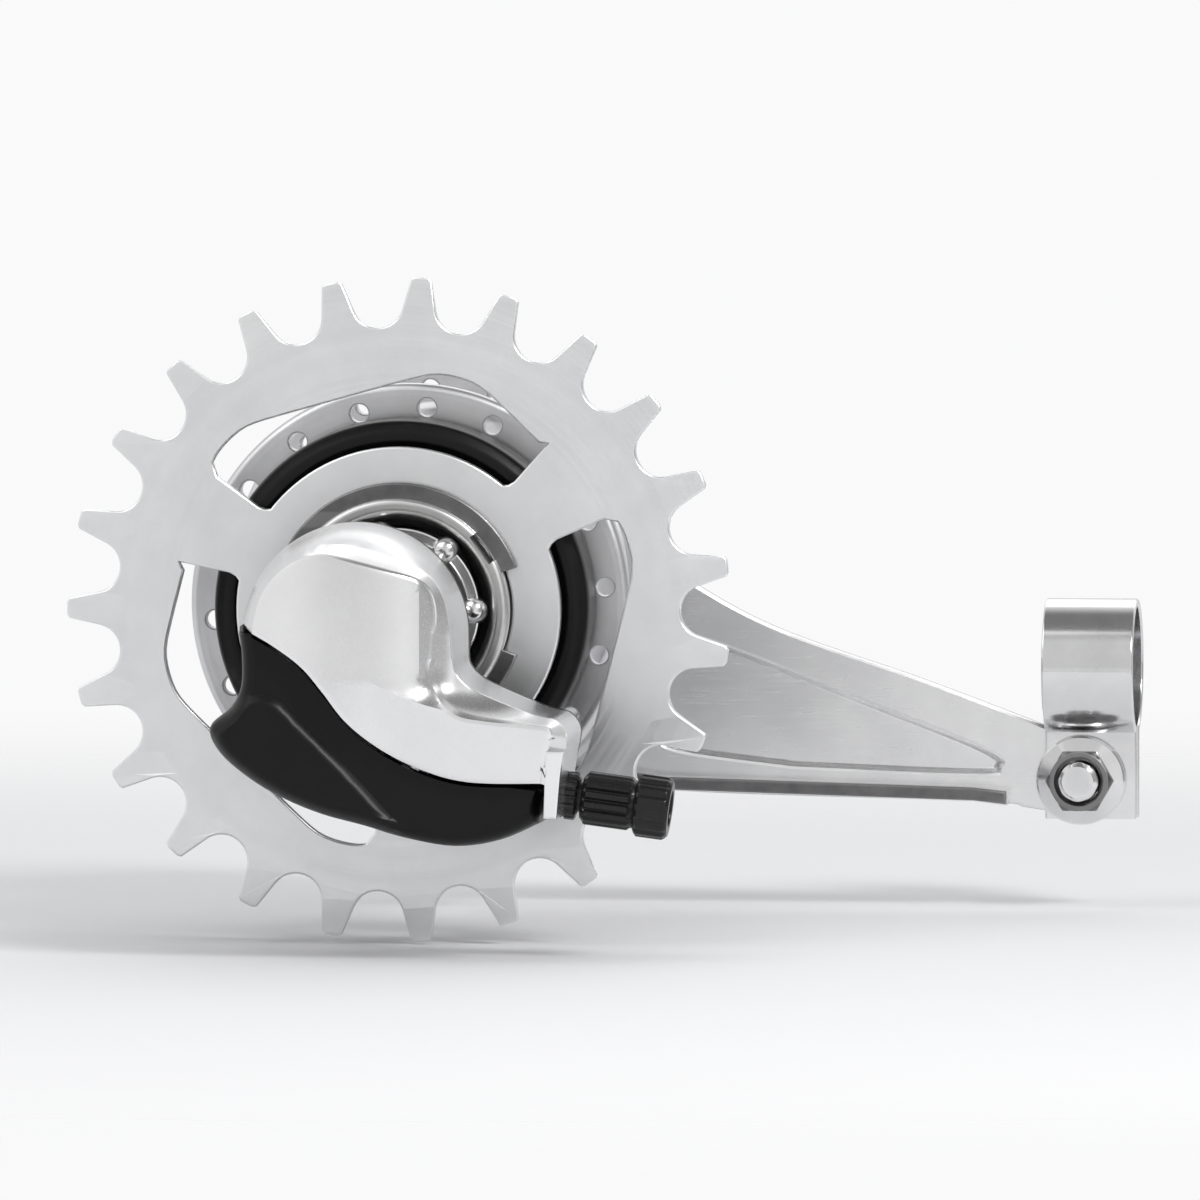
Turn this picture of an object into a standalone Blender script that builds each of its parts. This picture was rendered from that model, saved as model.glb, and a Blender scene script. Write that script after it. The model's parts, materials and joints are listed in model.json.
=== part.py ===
"""A bicycle's three-speed hub gear with a back-pedal brake, modelled piece by piece.

+X points to the front of the bicycle, +Z up. The axle lies along Y, with the sprocket at -Y, and the
origin is on the axle, midway between the faces that meet the frame ends. Sizes are in millimetres and
turn into metres as each mesh is made. An outline is a list of (x, z) points, and a turned profile a
list of (y, radius) points.
"""

import math

import bmesh
import bpy
from mathutils import Matrix, Vector

METRES = 0.001
GAP = 0.3

# Frame ends and axle
FRAME_FACE = 60.0
FRAME_GAP = 6.0
AXLE_RADIUS = 5.0
AXLE_FLAT = 4.3
AXLE_RIGHT_END = -84.0
AXLE_LEFT_END = 83.0
AXLE_BORE = 2.6
AXLE_BORE_END = -21.0
KEY_SLOT = (-32.0, -21.3)
BORE_ON_AXLE = AXLE_RADIUS + GAP
LOCKNUT_APOTHEM = 9.5
NUT_APOTHEM = 7.5
NUT_FLANGE = 10.2
NUT_LENGTH = 10.0
WASHER_RADIUS = 11.0
WASHER_THICK = 2.0

# Chain wheel
TEETH = 23
CHAIN_PITCH = 12.7
ROLLER_RADIUS = 3.95
SPROCKET_TIP = 50.3
SPROCKET_FACE = -46.15
SPROCKET_THICK = 2.3
ARM_ANGLES = (36.0, 156.0, 276.0)
ARM_HALF_ANGLE = 12.0
WINDOW_INNER = 24.6
WINDOW_FLAT = 33.0
WINDOW_CORNER = 36.2
WINDOW_FIRST_CORNER = 39.8

# Gear train: tooth counts, module and places along the axle
MODULE = 0.9
SUN_TEETH = 16
PLANET_TEETH = 14
RING_TEETH = 44
PLANETS = 4
PRESSURE_ANGLE = math.radians(20)
ADDENDUM = 0.8 * MODULE
DEDENDUM = MODULE
BACKLASH = 0.16
ORBIT = MODULE * (SUN_TEETH + PLANET_TEETH) / 2
GEAR_RIGHT = -6.2
GEAR_LEFT = 4.2
PIN_RADIUS = 2.0
CARRIER_RADIUS = 17.3

# Wheel shell
FLANGE_RADIUS = 33.3
SPOKE_CIRCLE = 29.75
SPOKES_PER_FLANGE = 18
SPOKE_HOLE = 1.35
RIGHT_FLANGE = -27.0
LEFT_FLANGE = 30.0
FLANGE_HALF = 1.6
BARREL_RADIUS = 25.5
SHELL_BORE = 23.8

# Driver and clutch
DRIVER_RADIUS = 17.0
DRIVER_BORE = 12.4
TAB_REACH = 15.9
TAB_HALF = 2.2
LUG_REACH = 14.6
LUG_HALF = 3.0
LUG_ANGLES = (45.0, 135.0, 225.0, 315.0)

# Ratchet
RATCHET_TEETH = 16
RATCHET_DEEP = 22.9
RATCHET_SHALLOW = 21.4
PAWL_PIVOT = 19.8
PAWL_REACH = 7.4
PAWL_ANGLES = (90.0, 270.0)

# Shift unit, seen from the drive side
HOUSING_BACK = -70.0
HOUSING_PLATE = 2.5
HOUSING_FRONT = -93.5
COVER_FRONT = -98.0
SHELL_WALL = 1.8
DOME_CENTRE = (-3.6, -2.2)
DOME_RADIUS = 16.9
WAIST = -84.0
WAIST_SHARE = 0.4
SHOULDER = -92.5
FACE_EDGE = -97.2
FRONT_SHARE = 1.3
# How far in the shoulder and the face's edge lie from the dome's rim, by angle round the dome
DOME_ANGLES = (165, 150, 125, 104, 88, 68, 54, 42, 26, 4)
SHOULDER_INSETS = (2.1, 1.8, 1.9, 2.3, 2.6, 2.9, 1.9, 0.9, 0.7, 1.3)
FACE_INSETS = (3.3, 2.6, 3.0, 3.9, 4.6, 5.2, 4.1, 2.7, 3.1, 4.1)
TAIL_TOP = (
    (13.3, -4.5), (13.6, -6.6), (15.5, -8.6), (18.5, -10.1), (22.0, -11.6), (25.5, -13.0),
    (28.4, -13.7), (30.0, -15.4), (30.2, -17.5),
)
TAIL_INSETS = (4.1, 4.4, 4.5, 3.6, 2.5, 1.6, 1.5, 2.4, 3.0)
TAIL_END = ((29.4, -21.0), (27.7, -28.6), (26.3, -28.6))
END_INSETS = (2.8, 1.0, 0.4)
SEAM = (
    (26.5, -23.7), (15.7, -23.1), (8.5, -21.3), (2.3, -18.2), (-2.8, -14.1), (-6.4, -9.5),
    (-9.5, -5.9), (-13.6, -2.9), (-17.7, -0.6), (-20.3, 0.8),
)
HOUSING_SIDE = ((-19.6, -1.2), (-19.2, -4.5), (-19.3, -9.0), (-20.8, -12.2))
HOUSING_UNDER = (
    (-24.0, -15.3), (-22.4, -19.2), (-17.7, -23.2), (-12.4, -26.2), (-6.8, -28.4), (-0.7, -30.0),
    (5.5, -31.8), (12.9, -33.0), (19.8, -32.0), (25.8, -29.4),
)
PANEL_RIDGE = (
    (-21.6, -13.9), (-19.9, -11.4), (-16.5, -10.2), (-13.4, -10.9), (-10.8, -13.3), (-7.2, -16.9),
    (-2.1, -22.0), (3.0, -27.6), (4.6, -29.2),
)
PANEL_RISE = 1.0
PANEL_EDGE = 2.6
HOUSING_CORNER = (25.7, -24.1)
SEAM_GAP = (0.25, 0.35)
PAST_SEAM = 3.0
LEVER_PIVOT = (6.4, -88.0)
LEVER_TOP = 3.0
LEVER_BOSS = 2.3
LEVER_PIN = 1.4
PAD_RADIUS = 1.6
CABLE_ARM = 7.0
LEVER_FOOT = -28.4
CABLE_ARM_SPAN = (-28.0, -23.6)
ROD_END = -91.5
FIXING_SCREW = (-6.0, -76.0)
FIXING_RADIUS = 2.0
CABLE_POINT = (28.5, -82.0, -25.6)
CABLE_SLOPE = 7.6

# Back-pedal brake
ARM_FACE = 52.0
ARM_THICK = 3.0
ARM_END = (95.2, -30.9)
CLIP_CENTRE = (96.6, 53.5, -13.7)
CLIP_BORE = 9.2
CLIP_SHEET = 1.2
CLIP_WIDTH = 14.0
CLIP_BOLT = 3.0
SHOES = 3

# Sides of round pieces
LARGE = 32
MEDIUM = 20
SMALL = 14

# Colour, roughness, metallic
SATIN_SILVER = ((0.66, 0.66, 0.67), 0.34, 1.0)
GREY_STEEL = ((0.55, 0.55, 0.55), 0.38, 1.0)
BRIGHT_STEEL = ((0.62, 0.62, 0.63), 0.2, 1.0)
DARK_STEEL = ((0.28, 0.28, 0.29), 0.4, 1.0)
ALLOY = ((0.6, 0.6, 0.61), 0.42, 1.0)
BLACK_PLASTIC = ((0.02, 0.02, 0.022), 0.45, 0.0)
BRONZE = ((0.4, 0.27, 0.13), 0.4, 1.0)


def clear_scene():
    for obj in list(bpy.data.objects):
        bpy.data.objects.remove(obj, do_unlink=True)


def finish_material(name, finish):
    colour, roughness, metallic = finish
    made = bpy.data.materials.new(name)
    made.use_nodes = True
    shader = made.node_tree.nodes["Principled BSDF"]
    shader.inputs["Base Color"].default_value = (*colour, 1)
    shader.inputs["Roughness"].default_value = roughness
    shader.inputs["Metallic"].default_value = metallic
    return made


def linked_object(name, data, at, turn, parent):
    obj = bpy.data.objects.new(name, data)
    obj.location = Vector(at) * METRES
    obj.rotation_euler = [math.radians(angle) for angle in turn]
    obj.parent = parent
    bpy.context.scene.collection.objects.link(obj)
    return obj


def axis_empty(name, at, turn=(0, 0, 0)):
    return linked_object(name, None, at, turn, None)


def mesh_of(name, shape):
    bmesh.ops.recalc_face_normals(shape, faces=shape.faces)
    if shape.calc_volume(signed=True) < 0:
        bmesh.ops.reverse_faces(shape, faces=shape.faces)
    bmesh.ops.scale(shape, vec=(METRES, METRES, METRES), verts=shape.verts)
    mesh = bpy.data.meshes.new(name)
    shape.to_mesh(mesh)
    shape.free()
    mesh.shade_smooth()
    mesh.set_sharp_from_angle(angle=math.radians(35))
    return mesh


def piece(name, shape, finish, at=(0, 0, 0), turn=(0, 0, 0), parent=None):
    obj = linked_object(name, mesh_of(name, shape), at, turn, parent)
    obj.data.materials.append(finish_material(name, finish))
    return obj


def combine(obj, operation, shape, at=(0, 0, 0), turn=(0, 0, 0)):
    """Joins a shape to a piece (UNION) or cuts it away (DIFFERENCE), placed in the piece's space."""
    name = f"{operation.lower()}_{obj.name}_{len(obj.modifiers) + 1}"
    helper = linked_object(name, mesh_of(name, shape), at, turn, obj)
    helper.hide_render = True
    helper.display_type = "WIRE"
    modifier = obj.modifiers.new(name, "BOOLEAN")
    modifier.operation = operation
    modifier.object = helper
    modifier.solver = "EXACT"


# Outlines

def polar(radius, degrees, centre=(0, 0)):
    angle = math.radians(degrees)
    return (centre[0] + radius * math.cos(angle), centre[1] + radius * math.sin(angle))


def arc(radius, start, stop, steps, centre=(0, 0)):
    return [polar(radius, start + (stop - start) * i / steps, centre) for i in range(steps + 1)]


def circle(radius, sides, centre=(0, 0)):
    return arc(radius, 0, 360, sides, centre)[:-1]


def flatted_circle(radius, flat, sides):
    return [(max(-flat, min(flat, x)), z) for x, z in circle(radius, sides)]


def hexagon(apothem, sides=24):
    angles = [360 * i / sides for i in range(sides)]
    return [polar(apothem / math.cos(math.radians(a % 60 - 30)), a + 60) for a in angles]


def lugged_circle(core, reach, half_width, angles, arc_steps=4):
    """A circle with square lugs out to reach, or notches in to it, centred on the angles."""
    outline = []
    side = math.degrees(math.asin(half_width / core))
    for angle, following in zip(angles, angles[1:] + (angles[0] + 360,)):
        turn = Matrix.Rotation(math.radians(angle), 2)
        corners = [turn @ Vector((reach, z)) for z in (-half_width, half_width)]
        outline += [tuple(corner) for corner in corners]
        outline += arc(core, angle + side, following - side, arc_steps)
    return outline


def smooth_through(points, steps):
    """Points along a Catmull-Rom curve through the given ones."""
    ends = [points[0], *points, points[-1]]
    curve = []
    for p0, p1, p2, p3 in zip(ends, ends[1:], ends[2:], ends[3:]):
        for i in range(steps):
            t = i / steps
            weights = (
                (-t + 2 * t**2 - t**3) / 2,
                (2 - 5 * t**2 + 3 * t**3) / 2,
                (t + 4 * t**2 - 3 * t**3) / 2,
                (-(t**2) + t**3) / 2,
            )
            knots = (p0, p1, p2, p3)
            curve.append(tuple(sum(w * p[k] for w, p in zip(weights, knots)) for k in (0, 1)))
    return curve + [points[-1]]


def moved_out(outline, distances):
    """A clockwise outline with each corner moved out by its own distance; a negative one moves it in."""
    moved = []
    for before, here, after, distance in zip(
        outline[-1:] + outline[:-1], outline, outline[1:] + outline[:1], distances
    ):
        normals = []
        for start, end in ((before, here), (here, after)):
            along = (Vector(end) - Vector(start)).normalized()
            normals.append(Vector((-along.y, along.x)))
        bisector = (normals[0] + normals[1]).normalized()
        stretch = distance / max(0.5, bisector.dot(normals[0]))
        moved.append(tuple(Vector(here) + bisector * stretch))
    return moved


def capsule(start, end, start_radius, end_radius, steps=5):
    """The outline round two circles and the straight sides between them."""
    along = Vector(end) - Vector(start)
    heading = math.degrees(math.atan2(along.y, along.x))
    lean = math.degrees(math.acos((start_radius - end_radius) / along.length))
    return arc(end_radius, heading - lean, heading + lean, steps, end) + arc(
        start_radius, heading + lean, heading + 360 - lean, steps, start
    )


def gear_outline(teeth, radii, thinner, phase):
    """Involute flanks through the radii, root first, with a tooth centred on the phase angle."""
    pitch = MODULE * teeth / 2
    base = pitch * math.cos(PRESSURE_ANGLE)
    half_at_pitch = math.pi / (2 * teeth) - thinner / pitch

    def half_angle(radius):
        lean = math.acos(min(1, base / max(radius, base)))
        at_pitch = math.tan(PRESSURE_ANGLE) - PRESSURE_ANGLE
        return half_at_pitch + at_pitch - (math.tan(lean) - lean)

    outline = []
    for tooth in range(teeth):
        middle = phase + 360 * tooth / teeth
        sides = [(radius, math.degrees(half_angle(radius))) for radius in radii]
        outline += [polar(radius, middle - half) for radius, half in sides]
        outline += [polar(radius, middle + half) for radius, half in reversed(sides)]
    return outline


# Solids

def turned(profile, sides, closed=True):
    """A solid turned about Y. A radius of 0 lies on the axis, and closed joins the profile's two ends."""
    shape = bmesh.new()
    rings = []
    for along, radius in profile:
        points = circle(radius, sides) if radius else [(0, 0)]
        rings.append([shape.verts.new((x, along, z)) for x, z in points])
    pairs = list(zip(rings, rings[1:]))
    if closed:
        pairs.append((rings[-1], rings[0]))
    for first, second in pairs:
        for i in range(sides):
            j = (i + 1) % sides
            corners = [first[i % len(first)], first[j % len(first)]]
            corners += [second[j % len(second)], second[i % len(second)]]
            shape.faces.new(list(dict.fromkeys(corners)))
    return shape


def tube(low, high, inner, outer, sides, chamfer=0.4):
    return turned(
        [
            (low, inner), (low, outer - chamfer), (low + chamfer, outer),
            (high - chamfer, outer), (high, outer - chamfer), (high, inner),
        ],
        sides,
    )


def rod(low, high, radius, sides, chamfer=0.4):
    return turned(
        [
            (low, 0), (low, radius - chamfer), (low + chamfer, radius),
            (high - chamfer, radius), (high, radius - chamfer), (high, 0),
        ],
        sides,
        closed=False,
    )


def plate(loops, low, high):
    """A flat solid between two places on Y: the first loop is its outline and the rest are holes."""
    shape = bmesh.new()
    edges = []
    for loop in loops:
        corners = [shape.verts.new((x, low, z)) for x, z in loop]
        edges += [shape.edges.new(pair) for pair in zip(corners, corners[1:] + corners[:1])]
    bmesh.ops.triangle_fill(shape, edges=edges, use_beauty=True)
    caps = shape.faces[:]
    far = {vert: shape.verts.new(vert.co + Vector((0, high - low, 0))) for vert in shape.verts[:]}
    for cap in caps:
        shape.faces.new([far[vert] for vert in reversed(cap.verts)])
    for edge in edges:
        start, end = edge.verts
        shape.faces.new((start, end, far[end], far[start]))
    return shape


def lofted(sections, closed=False):
    """A solid through (y, outline) sections of equal count, with flat ends or, closed, joined end to end."""
    shape = bmesh.new()
    rings = [[shape.verts.new((x, along, z)) for x, z in outline] for along, outline in sections]
    pairs = list(zip(rings, rings[1:]))
    if closed:
        pairs.append((rings[-1], rings[0]))
    else:
        shape.faces.new(rings[0])
        shape.faces.new(rings[-1])
    for first, second in pairs:
        for i in range(len(first)):
            j = (i + 1) % len(first)
            shape.faces.new((first[i], first[j], second[j], second[i]))
    return shape


def box(low, high):
    outline = [(low[0], low[2]), (high[0], low[2]), (high[0], high[2]), (low[0], high[2])]
    return plate([outline], low[1], high[1])


def joined(shapes):
    """Several separate shapes in one mesh, for a cut or a union that takes them all."""
    whole = bmesh.new()
    for shape in shapes:
        mesh = bpy.data.meshes.new("loose")
        shape.to_mesh(mesh)
        shape.free()
        whole.from_mesh(mesh)
        bpy.data.meshes.remove(mesh)
    return whole


def nut(face, length, apothem, bore, flange=None):
    """A hexagon nut along Y from a face, to the side of the length's sign, with a flange if named."""
    sides = 18
    step = math.copysign(1, length)
    chamfer = circle(apothem * 1.02, sides)
    sections = [(face, circle(bore, sides))]
    if flange:
        sections += [(face, circle(flange, sides)), (face + 1.6 * step, circle(flange, sides))]
        sections.append((face + 2.2 * step, hexagon(apothem, sides)))
    else:
        sections += [(face, chamfer), (face + 0.6 * step, hexagon(apothem, sides))]
    sections += [
        (face + length - 0.6 * step, hexagon(apothem, sides)),
        (face + length, chamfer),
        (face + length, circle(bore, sides)),
    ]
    return lofted(sections, closed=True)


def ball_ring(name, along, radius, ball, count, parent):
    """A bearing's balls held in their sheet cage."""
    inner, outer = radius - 0.45 * ball, radius + 0.45 * ball
    low, high = along - 0.5 * ball, along + 0.5 * ball
    cage = turned([(low, inner), (low, outer), (high, outer), (high, inner)], MEDIUM)
    obj = piece(name, cage, BRIGHT_STEEL, parent=parent)
    balls = bmesh.new()
    for i in range(count):
        x, z = polar(radius, 360 * i / count)
        at = Matrix.Translation((x, along, z))
        bmesh.ops.create_uvsphere(balls, u_segments=6, v_segments=4, radius=ball, matrix=at)
    combine(obj, "UNION", balls)


# Pieces fixed to the axle

def make_axle():
    sides = 20
    whole = circle(AXLE_RADIUS, sides)
    flatted = flatted_circle(AXLE_RADIUS, AXLE_FLAT, sides)
    tip = flatted_circle(AXLE_RADIUS - 0.6, AXLE_FLAT - 0.3, sides)
    bore = circle(AXLE_BORE, sides)
    obj = piece(
        "axle",
        lofted(
            [
                (AXLE_LEFT_END, tip), (AXLE_LEFT_END - 0.6, flatted), (46, flatted), (45.5, whole),
                (-40.5, whole), (-41, flatted), (AXLE_RIGHT_END + 0.6, flatted),
                (AXLE_RIGHT_END, tip), (AXLE_RIGHT_END, bore), (AXLE_BORE_END, bore),
            ]
        ),
        GREY_STEEL,
    )
    combine(obj, "DIFFERENCE", box((-6, KEY_SLOT[0], -1.7), (6, KEY_SLOT[1], 1.7)))


def make_axle_fittings():
    for side, sign in (("right", -1), ("left", 1)):
        inner = 56.0 if sign < 0 else ARM_FACE + ARM_THICK + GAP
        locknut = nut(sign * FRAME_FACE, sign * (inner - FRAME_FACE), LOCKNUT_APOTHEM, BORE_ON_AXLE)
        piece(f"{side}_locknut", locknut, GREY_STEEL)
        make_nonturn_washer(f"{side}_nonturn_washer", sign)
        nut_face = sign * (FRAME_FACE + FRAME_GAP + WASHER_THICK + GAP)
        axle_nut = nut(nut_face, sign * NUT_LENGTH, NUT_APOTHEM, BORE_ON_AXLE, NUT_FLANGE)
        piece(f"{side}_axle_nut", axle_nut, BRIGHT_STEEL)
    right_cone = [
        (-55.7, BORE_ON_AXLE), (-55.7, 7.9), (-55.2, 8.4), (-50.0, 8.4), (-48.6, 8.8), (-47.0, 9.1),
        (-45.6, 9.9), (-44.4, 11.2), (-42.6, 11.2), (-42.6, BORE_ON_AXLE),
    ]
    piece("right_cone", turned(right_cone, MEDIUM), GREY_STEEL)
    left_cone = [
        (35.0, BORE_ON_AXLE), (35.0, 16.6), (36.8, 17.6), (38.4, 18.6), (39.4, 18.8), (40.6, 18.3),
        (41.4, 17.4), (41.4, 12.6), (42.0, 12.0), (ARM_FACE - GAP, 12.0), (ARM_FACE - GAP, BORE_ON_AXLE),
    ]
    piece("left_cone", turned(left_cone, MEDIUM), GREY_STEEL)
    left_cap = [
        (42.0, 12.3), (42.0, 21.0), (41.3, 23.4), (41.3, 24.8), (41.9, 25.2), (43.0, 23.6),
        (43.4, 21.2), (43.4, 12.3),
    ]
    piece("left_dust_cap", turned(left_cap, LARGE), BRIGHT_STEEL)


def make_nonturn_washer(name, sign):
    """A washer on the axle's flats, whose tab sits in the frame end's slot behind the axle."""
    face = sign * (FRAME_FACE + FRAME_GAP)
    bore = flatted_circle(BORE_ON_AXLE, AXLE_FLAT + GAP, 20)
    washer = plate([circle(WASHER_RADIUS, MEDIUM), bore], face, face + sign * WASHER_THICK)
    obj = piece(name, washer, GREY_STEEL)
    low, high = sorted((face - sign * (FRAME_GAP - 1.5), face + sign * 0.5 * WASHER_THICK))
    combine(obj, "UNION", box((-10.5, low, -2.6), (-6.6, high, 2.6)))


def make_sun_gear():
    pitch = MODULE * SUN_TEETH / 2
    teeth = gear_outline(SUN_TEETH, (pitch - DEDENDUM, pitch + ADDENDUM), BACKLASH / 4, 0)
    shape = plate([teeth, circle(BORE_ON_AXLE, SMALL)], GEAR_RIGHT - 0.6, GEAR_LEFT + 0.2)
    piece("sun_gear", shape, DARK_STEEL)


def make_clutch_spring():
    """A spring of round wire round the axle, between the sun gear and the clutch."""
    turns, points_per_turn = 5, 8
    wire, mean, low, high = 0.45, 6.9, -17.5, -7.6
    curve = bpy.data.curves.new("clutch_spring", "CURVE")
    curve.dimensions = "3D"
    curve.bevel_depth = wire * METRES
    curve.bevel_resolution = 1
    curve.use_fill_caps = True
    count = turns * points_per_turn + 1
    spline = curve.splines.new("POLY")
    spline.points.add(count - 1)
    for i, point in enumerate(spline.points):
        x, z = polar(mean, 360 * i / points_per_turn)
        point.co = (*(Vector((x, low + (high - low) * i / (count - 1), z)) * METRES), 1)
    curve.materials.append(finish_material("clutch_spring", BRIGHT_STEEL))
    linked_object("clutch_spring", curve, (0, 0, 0), (0, 0, 0), None)


# Wheel shell and driver

def make_hub_shell(parent):
    def flange(centre):
        near, far = centre - FLANGE_HALF, centre + FLANGE_HALF
        return [
            (near - 0.8, 26.2), (near, 27.2), (near, FLANGE_RADIUS - 0.7), (near + 0.7, FLANGE_RADIUS),
            (far - 0.7, FLANGE_RADIUS), (far, FLANGE_RADIUS - 0.7), (far, 27.2), (far + 0.8, 26.2),
        ]

    profile = [(-35.5, SHELL_BORE), (-35.5, 25.2), (-34.8, 25.8), *flange(RIGHT_FLANGE)]
    profile += [(-18.0, BARREL_RADIUS), (21.0, BARREL_RADIUS), *flange(LEFT_FLANGE)]
    profile += [(40.2, 25.8), (40.8, 25.2), (40.8, 22.0), (39.4, 22.2), (38.2, 22.9), (37.6, SHELL_BORE)]
    obj = piece("hub_shell", turned(profile, LARGE), ALLOY, parent=parent)
    pitch = 360 / SPOKES_PER_FLANGE
    for centre, phase in ((RIGHT_FLANGE, pitch / 4), (LEFT_FLANGE, pitch * 3 / 4)):
        holes = []
        for i in range(SPOKES_PER_FLANGE):
            at = polar(SPOKE_CIRCLE, phase + pitch * i)
            outline = circle(SPOKE_HOLE, 6, at)
            holes.append(plate([outline], centre - 2 * FLANGE_HALF, centre + 2 * FLANGE_HALF))
        combine(obj, "DIFFERENCE", joined(holes))


def make_right_ball_cup(parent):
    """The cup screwed into the shell: a ball track on the right and the ratchet on its left."""
    outer = SHELL_BORE - GAP
    cup = [
        (-36.2, outer), (-36.2, 20.9), (-35.2, 21.2), (-34.2, 21.9), (-32.6, 22.0), (-31.4, 21.2),
        (-30.4, 20.4), (-19.5, 20.4), (-19.5, outer),
    ]
    obj = piece("right_ball_cup", turned(cup, LARGE), GREY_STEEL, parent=parent)
    pitch = 360 / RATCHET_TEETH
    steep = PAWL_ANGLES[0] - math.degrees(math.atan2(PAWL_REACH, PAWL_PIVOT + 1)) - 1.3
    saw = []
    for tooth in range(RATCHET_TEETH):
        for share in (0.0, 0.5, 0.98):
            radius = RATCHET_DEEP + (RATCHET_SHALLOW - RATCHET_DEEP) * share
            saw.append(polar(radius, steep + pitch * (tooth + share)))
    combine(obj, "UNION", plate([circle(outer, LARGE), saw], -20.5, -10.7))


def make_driver(parent):
    profile = [
        (-50.0, 15.1), (-50.0, 16.5), (-49.5, DRIVER_RADIUS), (-48.1, DRIVER_RADIUS), (-48.1, 16.1),
        (-46.5, 16.1), (-46.5, DRIVER_RADIUS), (-43.5, DRIVER_RADIUS), (-43.5, 18.6), (-35.6, 18.6),
        (-34.4, 18.3), (-33.2, 18.2), (-32.0, 18.4), (-30.6, 18.6), (-30.0, 17.3), (-19.2, 17.3),
        (-19.2, DRIVER_BORE), (-42.0, DRIVER_BORE), (-43.4, 12.8), (-45.0, 13.7), (-47.2, 14.1),
        (-49.2, 14.6),
    ]
    obj = piece("driver", turned(profile, 28), GREY_STEEL, parent=parent)
    slots = lugged_circle(10.0, LUG_REACH + GAP, LUG_HALF + GAP, LUG_ANGLES)
    combine(obj, "DIFFERENCE", plate([slots], -30.5, -18.0))
    notches = []
    for angle in ARM_ANGLES:
        turn = Matrix.Rotation(math.radians(angle), 2)
        corners = ((TAB_REACH - GAP, -1), (20, -1), (20, 1), (TAB_REACH - GAP, 1))
        outline = [tuple(turn @ Vector((x, z * (TAB_HALF + GAP)))) for x, z in corners]
        notches.append(plate([outline], -51.0, SPROCKET_FACE + SPROCKET_THICK + GAP))
    combine(obj, "DIFFERENCE", joined(notches))


def sprocket_outline():
    """Round roots for the chain's rollers, with straight-sided teeth cut off at the tip radius."""
    pitch_radius = CHAIN_PITCH / (2 * math.sin(math.pi / TEETH))
    outline = []
    for tooth in range(TEETH):
        middle = 360 * tooth / TEETH
        root = polar(pitch_radius, middle)
        outline += arc(ROLLER_RADIUS, middle + 248, middle + 112, 5, root)
        outline += [polar(SPROCKET_TIP, middle + 180 / TEETH + lean) for lean in (-1.4, 1.4)]
    return outline


def window_outline(arm_angle):
    """A sprocket window: its outer edge follows a hexagon with rounded corners, its inner edge an arc."""
    start = arm_angle + ARM_HALF_ANGLE
    stop = arm_angle + 120 - ARM_HALF_ANGLE
    outer = []
    steps = 14
    for i in range(steps + 1):
        angle = start + (stop - start) * i / steps
        from_corner = (angle - arm_angle - WINDOW_FIRST_CORNER) % 60 - 30
        radius = min(WINDOW_CORNER, WINDOW_FLAT / math.cos(math.radians(from_corner)))
        at_end = i in (0, steps)
        outer.append(polar(radius - 1.2 * at_end, angle))
    inner = arc(WINDOW_INNER, stop - 2, start + 2, 6)
    return outer + [polar(WINDOW_INNER + 1.6, stop)] + inner + [polar(WINDOW_INNER + 1.6, start)]


def make_sprocket(parent):
    bore = lugged_circle(DRIVER_RADIUS + GAP, TAB_REACH, TAB_HALF, ARM_ANGLES, 10)
    windows = [window_outline(angle) for angle in ARM_ANGLES]
    shape = plate([sprocket_outline(), bore, *windows], SPROCKET_FACE, SPROCKET_FACE + SPROCKET_THICK)
    piece("sprocket", shape, GREY_STEEL, parent=parent)


def make_driver_trim(parent):
    ring = arc(19.3, 20, 340, 24) + arc(16.4, 340, 20, 24)
    piece("snap_ring", plate([ring], -47.9, -46.7), DARK_STEEL, parent=parent)
    cap = [
        (-42.3, 18.9), (-42.3, 26.6), (-41.6, 28.0), (-40.4, 28.5), (-32.6, 28.5), (-32.6, 27.4),
        (-39.6, 27.2), (-40.8, 26.0), (-40.8, 18.9),
    ]
    piece("right_dust_cap", turned(cap, LARGE), BLACK_PLASTIC, parent=parent)


# Gear train

def make_ring_gear(parent):
    pitch = MODULE * RING_TEETH / 2
    spaces = gear_outline(RING_TEETH, (pitch - ADDENDUM, pitch + DEDENDUM), -BACKLASH / 4, 180 / RING_TEETH)
    rim = plate([circle(23.0, LARGE), spaces], -7.3, GEAR_LEFT + 0.8)
    obj = piece("ring_gear", rim, GREY_STEEL, parent=parent)
    combine(obj, "UNION", tube(-17.0, -6.5, 17.9, 20.6, LARGE, 0.2))
    dogs = lugged_circle(12.2, LUG_REACH + GAP, LUG_HALF + GAP, LUG_ANGLES)
    combine(obj, "UNION", plate([circle(20.6, LARGE), dogs], -18.5, -15.5))
    recesses = []
    for angle in PAWL_ANGLES:
        corners = ((-1.5, -1.05), (-1.5, 3), (8.2, 3), (8.2, -1.7), (3.0, -1.35))
        recesses.append(plate([pawl_place(corners, angle)], -18.0, -11.6))
    combine(obj, "DIFFERENCE", joined(recesses))


def pawl_place(corners, angle):
    """Corners given along the rim and out from the pawl's pivot, in the (x, z) plane."""
    out = Vector(polar(1, angle))
    along = Vector(polar(1, angle - 90))
    return [tuple(out * (PAWL_PIVOT + rise) + along * reach) for reach, rise in corners]


def make_pawls(parent):
    for number, angle in enumerate(PAWL_ANGLES, 1):
        corners = ((-0.9, -0.6), (-0.9, 0.5), (0.2, 0.9), (PAWL_REACH, 1.1), (PAWL_REACH, -0.3), (3.0, -0.8))
        pivot = polar(PAWL_PIVOT, angle)
        outline = [(x - pivot[0], z - pivot[1]) for x, z in pawl_place(corners, angle)]
        at = (pivot[0], 0, pivot[1])
        piece(f"ring_pawl_{number}", plate([outline], -17.6, -12.0), DARK_STEEL, at=at, parent=parent)


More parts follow.
